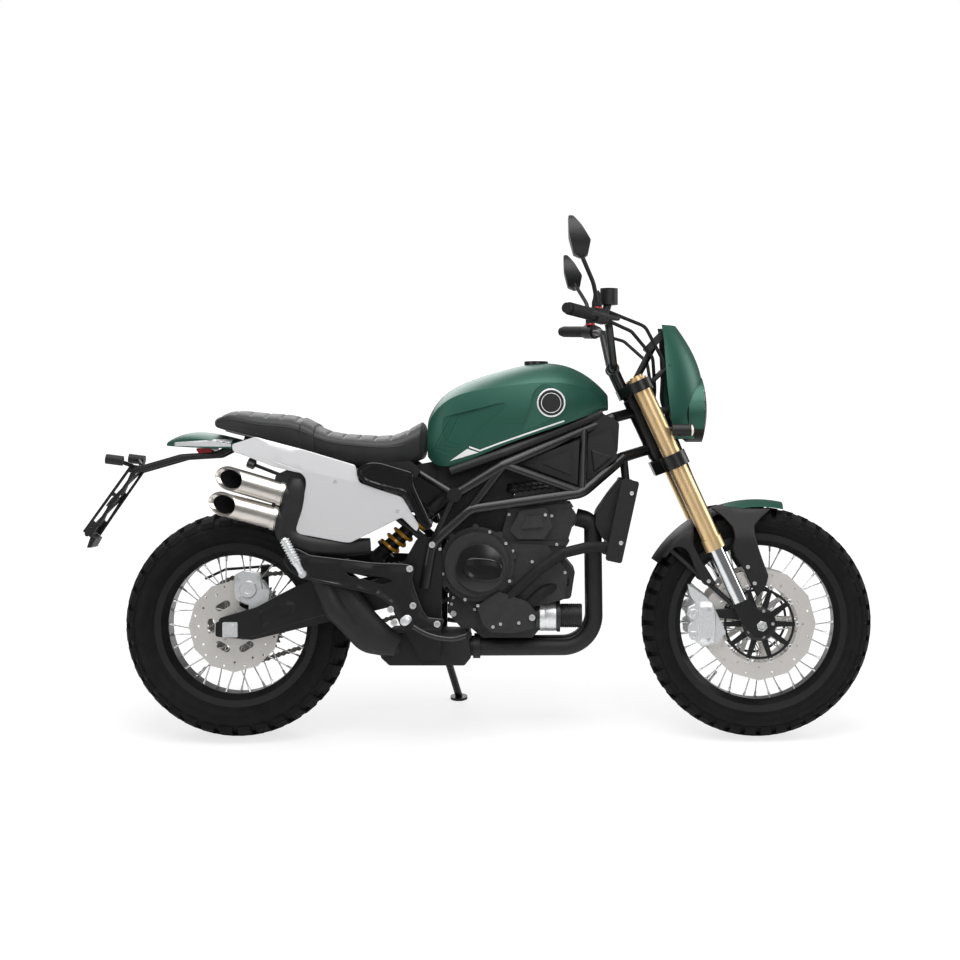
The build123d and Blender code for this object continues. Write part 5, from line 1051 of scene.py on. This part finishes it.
def lamp_radius(at):
    """Distance from the headlamp's axis."""
    return sqrt(at.y ** 2 + (at.z - LAMP_Z) ** 2)


def dress_front():
    """Fender legs, caliper faces, screws, indicator glass, and the headlamp's optics and paint."""
    guard, bolts, caliper, glass, shine = (Shape() for _ in range(5))
    hold = skin_of("front_calipers")
    for side in (-1, 1):
        out = (0, side, 0)
        for outline in (GUARD_FRONT, GUARD_REAR):
            pressed(guard, rounded(outline, 7), guard_depth, 7, side, grid=14, chamfer=3)
        for x, z in GUARD_BOLTS:
            bolts.bolt((x, side * 93, z), out, 5.6, 5)
        hits = [on_skin(hold, 1320, z, side, 0) for z in (300, 330, 360)]
        face = max(abs(at.y) for at in hits if at is not None)
        pressed(caliper, rounded(CALIPER, 6),
                lambda x, z: face + (6 if x > CALIPER_STEP and 280 < z < 384 else 2.5), 22, side,
                creases=[[(CALIPER_STEP, 282), (CALIPER_STEP, 384)]], grid=8, chamfer=2)
        for z in (300, 362):
            caliper.lathe((1292, side * (face + 1), z), out, PISTON, 20)
        for z in (290, 374):
            bolts.bolt((1334, side * (face + 5), z), out, 6, 5)
        bolts.bolt((FRONT_AXLE.x, side * 128, FRONT_AXLE.z), out, 15, 6, NUT_HEAD, 6)
        x, y, z = INDICATOR_AT
        glass.lathe((x, side * y, z), FORWARD, [(15.8, 0), (15.8, 3), (13, 6.5), (7, 8.5), (0, 9)], 24)
    guard.make("fender_legs", "black_plastic", "steering", angle=40)
    bolts.make("fork_screws", "bright_bolt", "steering", "bright_alloy")
    caliper.make("caliper_faces", "bright_alloy", "steering")
    glass.make("indicator_lenses", "pale_lens", "steering", "clear_lens")
    # What shows through the headlamp's glass: bulb holder, ring and shelf
    shine.lathe((1252, 0, LAMP_Z), FORWARD, [(34, 0), (36, 6), (30, 22), (24, 26), (0, 28)], 32)
    shine.ring((1318, 0, LAMP_Z), FORWARD, 78, 2.4, 64, 8)
    shine.add([(x, half * share, LAMP_Z + rise) for x, half in ((1300, 76), (1250, 44))
               for share, rise in ((-1, -4), (1, -4), (1, 4), (-1, 4))], BOX_FACES)
    shine.make("lamp_optics", "chrome", "steering")

    def cowl_back(at, normal):
        return normal.x < -0.2 or (at.x < 1209 and 1000 < at.z < 1066)

    def bowl_inside(at, _):
        return at.x > 1245 and lamp_radius(at) < min(92, 57 + (at.x - 1236) * 0.8) - 5

    def bowl_side(at, _):
        return lamp_radius(at) > 87 and at.z > 880 and 1282 < at.x < 1323

    paint("headlamp_cowl", "black_plastic", cowl_back)
    paint("headlamp", "chrome", bowl_inside)
    paint("headlamp", "green_paint", bowl_side)


def dress_discs():
    """Black carriers with arms over the front discs, and bright buttons and bolts on all three."""
    carrier, buttons, rear = Shape(), Shape(), Shape()
    for side in (-1, 1):
        out = Vector((0, side, 0))
        center = Vector((FRONT_AXLE.x, side * CARRIER_Y, FRONT_AXLE.z))
        carrier.lathe(center, out,
                      [(48, -1), (48, 2.2), (46, 3), (29, 3), (28, 1), (28, -1), (48, -1)], 48, False)
        carrier.lathe(center, out, [(100, -1), (100, 1.6), (93, 1.6), (93, -1), (100, -1)], 72, False)
        for step, angle in enumerate(turns(CARRIER_ARMS)):
            along_arm = Vector((cos(angle), 0, sin(angle)))
            across = Vector((-sin(angle), 0, cos(angle)))
            base = [center + along_arm * r + across * w
                    for r, w in ((40, -9), (40, 9), (BUTTON_R, 6), (BUTTON_R, -6))]
            carrier.add([p - out for p in base] + [p + out * 2 for p in base], BOX_FACES)
            buttons.lathe(center + along_arm * BUTTON_R, out, BUTTON, 16)
            if step % 2 == 0:
                buttons.bolt(center + along_arm * 38 + out * 1.5, out, 4.6, 4)
    carrier.make("disc_carriers", "black_paint", "front_wheel")
    buttons.make("disc_buttons", "bright_bolt", "front_wheel", "bright_alloy")
    places = [round_axle(REAR_AXLE, a + 0.3, 44, 0) for a in turns(5)]
    rear.screws(skin_of("rear_disc"), [(at.x, at.z) for at in places], -1, 5, 4)
    rear.make("rear_disc_bolts", "bright_bolt", "rear_wheel", "bright_alloy")


dress_front()
dress_discs()


MIRROR_GLASS_Z = 1290
TAIL_PATCH = (((-178, 831), (-4, 829)), ((-178, 843), (-4, 854)))
TAIL_LIFT = 1.6
# The plate hanger's lattice: half its width, and its cross ties as places along the rails
HANGER_HALF = 49
HANGER_TOP = Vector((-288, 0, 770))
HANGER_END = Vector((-424, 0, 584))
HANGER_TIES = ((0.05, 0.48), (0.48, 0.94))
HANGER_EDGES = (((-298, 776), (-432, 590)), ((-280, 772), (-416, 577)))


def strap(shape, start, end, normal, half, thick):
    """Flat bar between two points, its wide faces along the normal."""
    across = normal.cross((end - start).normalized())
    corners = [across * (half * u) + normal * (thick * v) for u, v in ((-1, -1), (1, -1), (1, 1), (-1, 1))]
    shape.add([start + c for c in corners] + [end + c for c in corners], BOX_FACES)


def dress_tail():
    """Silver underside of the tail cowl, and the lattice of the plate hanger."""
    edge, lattice = Shape(), Shape()
    cowl = skin_of("tail_cowl")
    run = HANGER_END - HANGER_TOP
    for side in (-1, 1):
        patch(edge, cowl, *TAIL_PATCH, side, TAIL_LIFT)
        shift = Vector((0, side * HANGER_HALF, 0))
        for low, high in HANGER_TIES:
            strap(lattice, HANGER_TOP + run * low + shift, HANGER_TOP + run * high - shift,
                  run.cross(LEFT).normalized(), 8, 2)
        for (x0, z0), (x1, z1) in HANGER_EDGES:
            lattice.rod((x0, side * HANGER_HALF, z0), (x1, side * HANGER_HALF, z1), 4, 10)
    edge.make("tail_underside", "silver_paint", "chassis")
    lattice.make("plate_lattice", "black_plastic", "chassis")


def dress_mirrors():
    """Glass of the mirrors, and the boots and rings at their feet."""
    paint("mirrors", "chrome", lambda at, normal: normal.x < -0.8 and at.z > MIRROR_GLASS_Z)
    boot, ring = Shape(), Shape()
    own = points_of("mirrors")
    for side in (-1, 1):
        foot = min((at for at in own if at.y * side > 0), key=lambda at: at.z)
        boot.lathe((foot.x, foot.y, foot.z + 3), (0, 0, 1),
                   [(14, 0), (14, 14), (11, 24), (9, 40), (6, 46)], 18)
        ring.lathe(foot, (0, 0, 1), [(14.6, 0), (15, 1), (15, 3.4), (14.6, 4)], 24)
    boot.make("mirror_boots", "black_rubber", "steering")
    ring.make("mirror_rings", "red_accent", "steering", "red_lens")


dress_tail()
dress_mirrors()


def stage_floor():
    """Pale floor: to the camera it is white far off, and keeps a part of its shading near the machine."""
    mesh = bpy.data.meshes.new("floor")
    corners = [(x * FLOOR_HALF, y * FLOOR_HALF, 0) for x, y in ((-1, -1), (1, -1), (1, 1), (-1, 1))]
    mesh.from_pydata(corners, [], [(0, 1, 2, 3)])
    floor = bpy.data.objects.new("floor", mesh)
    bpy.context.scene.collection.objects.link(floor)
    tree, shader = new_material("floor_white", (0.9, 0.9, 0.9), 0.0, 0.8)
    mesh.materials.append(MATERIALS["floor_white"])
    glow = add_node(tree, "Emission", Strength=FLOOR_GLOW)
    path = add_node(tree, "LightPath")
    share = add_node(tree, "Math", "MULTIPLY")
    away = add_node(tree, "VectorMath", "LENGTH")
    rise = add_node(tree, "MapRange", From_Min=FLOOR_REACH[0], From_Max=FLOOR_REACH[1],
                    To_Min=FLOOR_SHARE[0], To_Max=FLOOR_SHARE[1])
    mix = add_node(tree, "MixShader")
    tree.links.new(object_place(tree), away.inputs[0])
    tree.links.new(away.outputs["Value"], rise.inputs["Value"])
    tree.links.new(path.outputs["Is Camera Ray"], share.inputs[0])
    tree.links.new(rise.outputs["Result"], share.inputs[1])
    tree.links.new(share.outputs["Value"], mix.inputs["Fac"])
    tree.links.new(shader.outputs["BSDF"], mix.inputs[1])
    tree.links.new(glow.outputs["Emission"], mix.inputs[2])
    tree.links.new(mix.outputs["Shader"], tree.nodes["Material Output"].inputs["Surface"])


def light_scene():
    """White surround that lights little, and soft lamps."""
    world = bpy.data.worlds.new("studio")
    bpy.context.scene.world = world
    world.use_nodes = True
    tree = world.node_tree
    background = tree.nodes["Background"]
    set_sockets(background, {"Color": (1, 1, 1, 1), "Strength": WORLD_LIGHT})
    seen = add_node(tree, "Background", Color=(1, 1, 1, 1), Strength=1.0)
    path = add_node(tree, "LightPath")
    mix = add_node(tree, "MixShader")
    tree.links.new(path.outputs["Is Camera Ray"], mix.inputs["Fac"])
    tree.links.new(background.outputs["Background"], mix.inputs[1])
    tree.links.new(seen.outputs["Background"], mix.inputs[2])
    tree.links.new(mix.outputs["Shader"], tree.nodes["World Output"].inputs["Surface"])
    for name, place, size, power in LAMPS:
        light = bpy.data.lights.new(name, "AREA")
        light.shape = "SQUARE"
        light.size = size
        light.energy = power
        lamp = bpy.data.objects.new(name, light)
        lamp.location = place
        lamp.rotation_euler = (LAMPS_AIM - Vector(place)).to_track_quat("-Z", "Y").to_euler()
        bpy.context.scene.collection.objects.link(lamp)


def place_camera():
    """Camera square to the machine's right side."""
    camera = bpy.data.cameras.new("camera")
    camera.lens = CAMERA_LENS
    camera.shift_x, camera.shift_y = CAMERA_SHIFT
    view = bpy.data.objects.new("camera", camera)
    turn = Matrix((FORWARD, UPRIGHT, -SIDEWAYS)).transposed().to_4x4()
    view.matrix_world = Matrix.Translation(BIKE @ CAMERA_AT) @ turn
    bpy.context.scene.collection.objects.link(view)
    bpy.context.scene.camera = view
    bpy.context.scene.view_settings.view_transform = "Standard"


stage_floor()
light_scene()
place_camera()
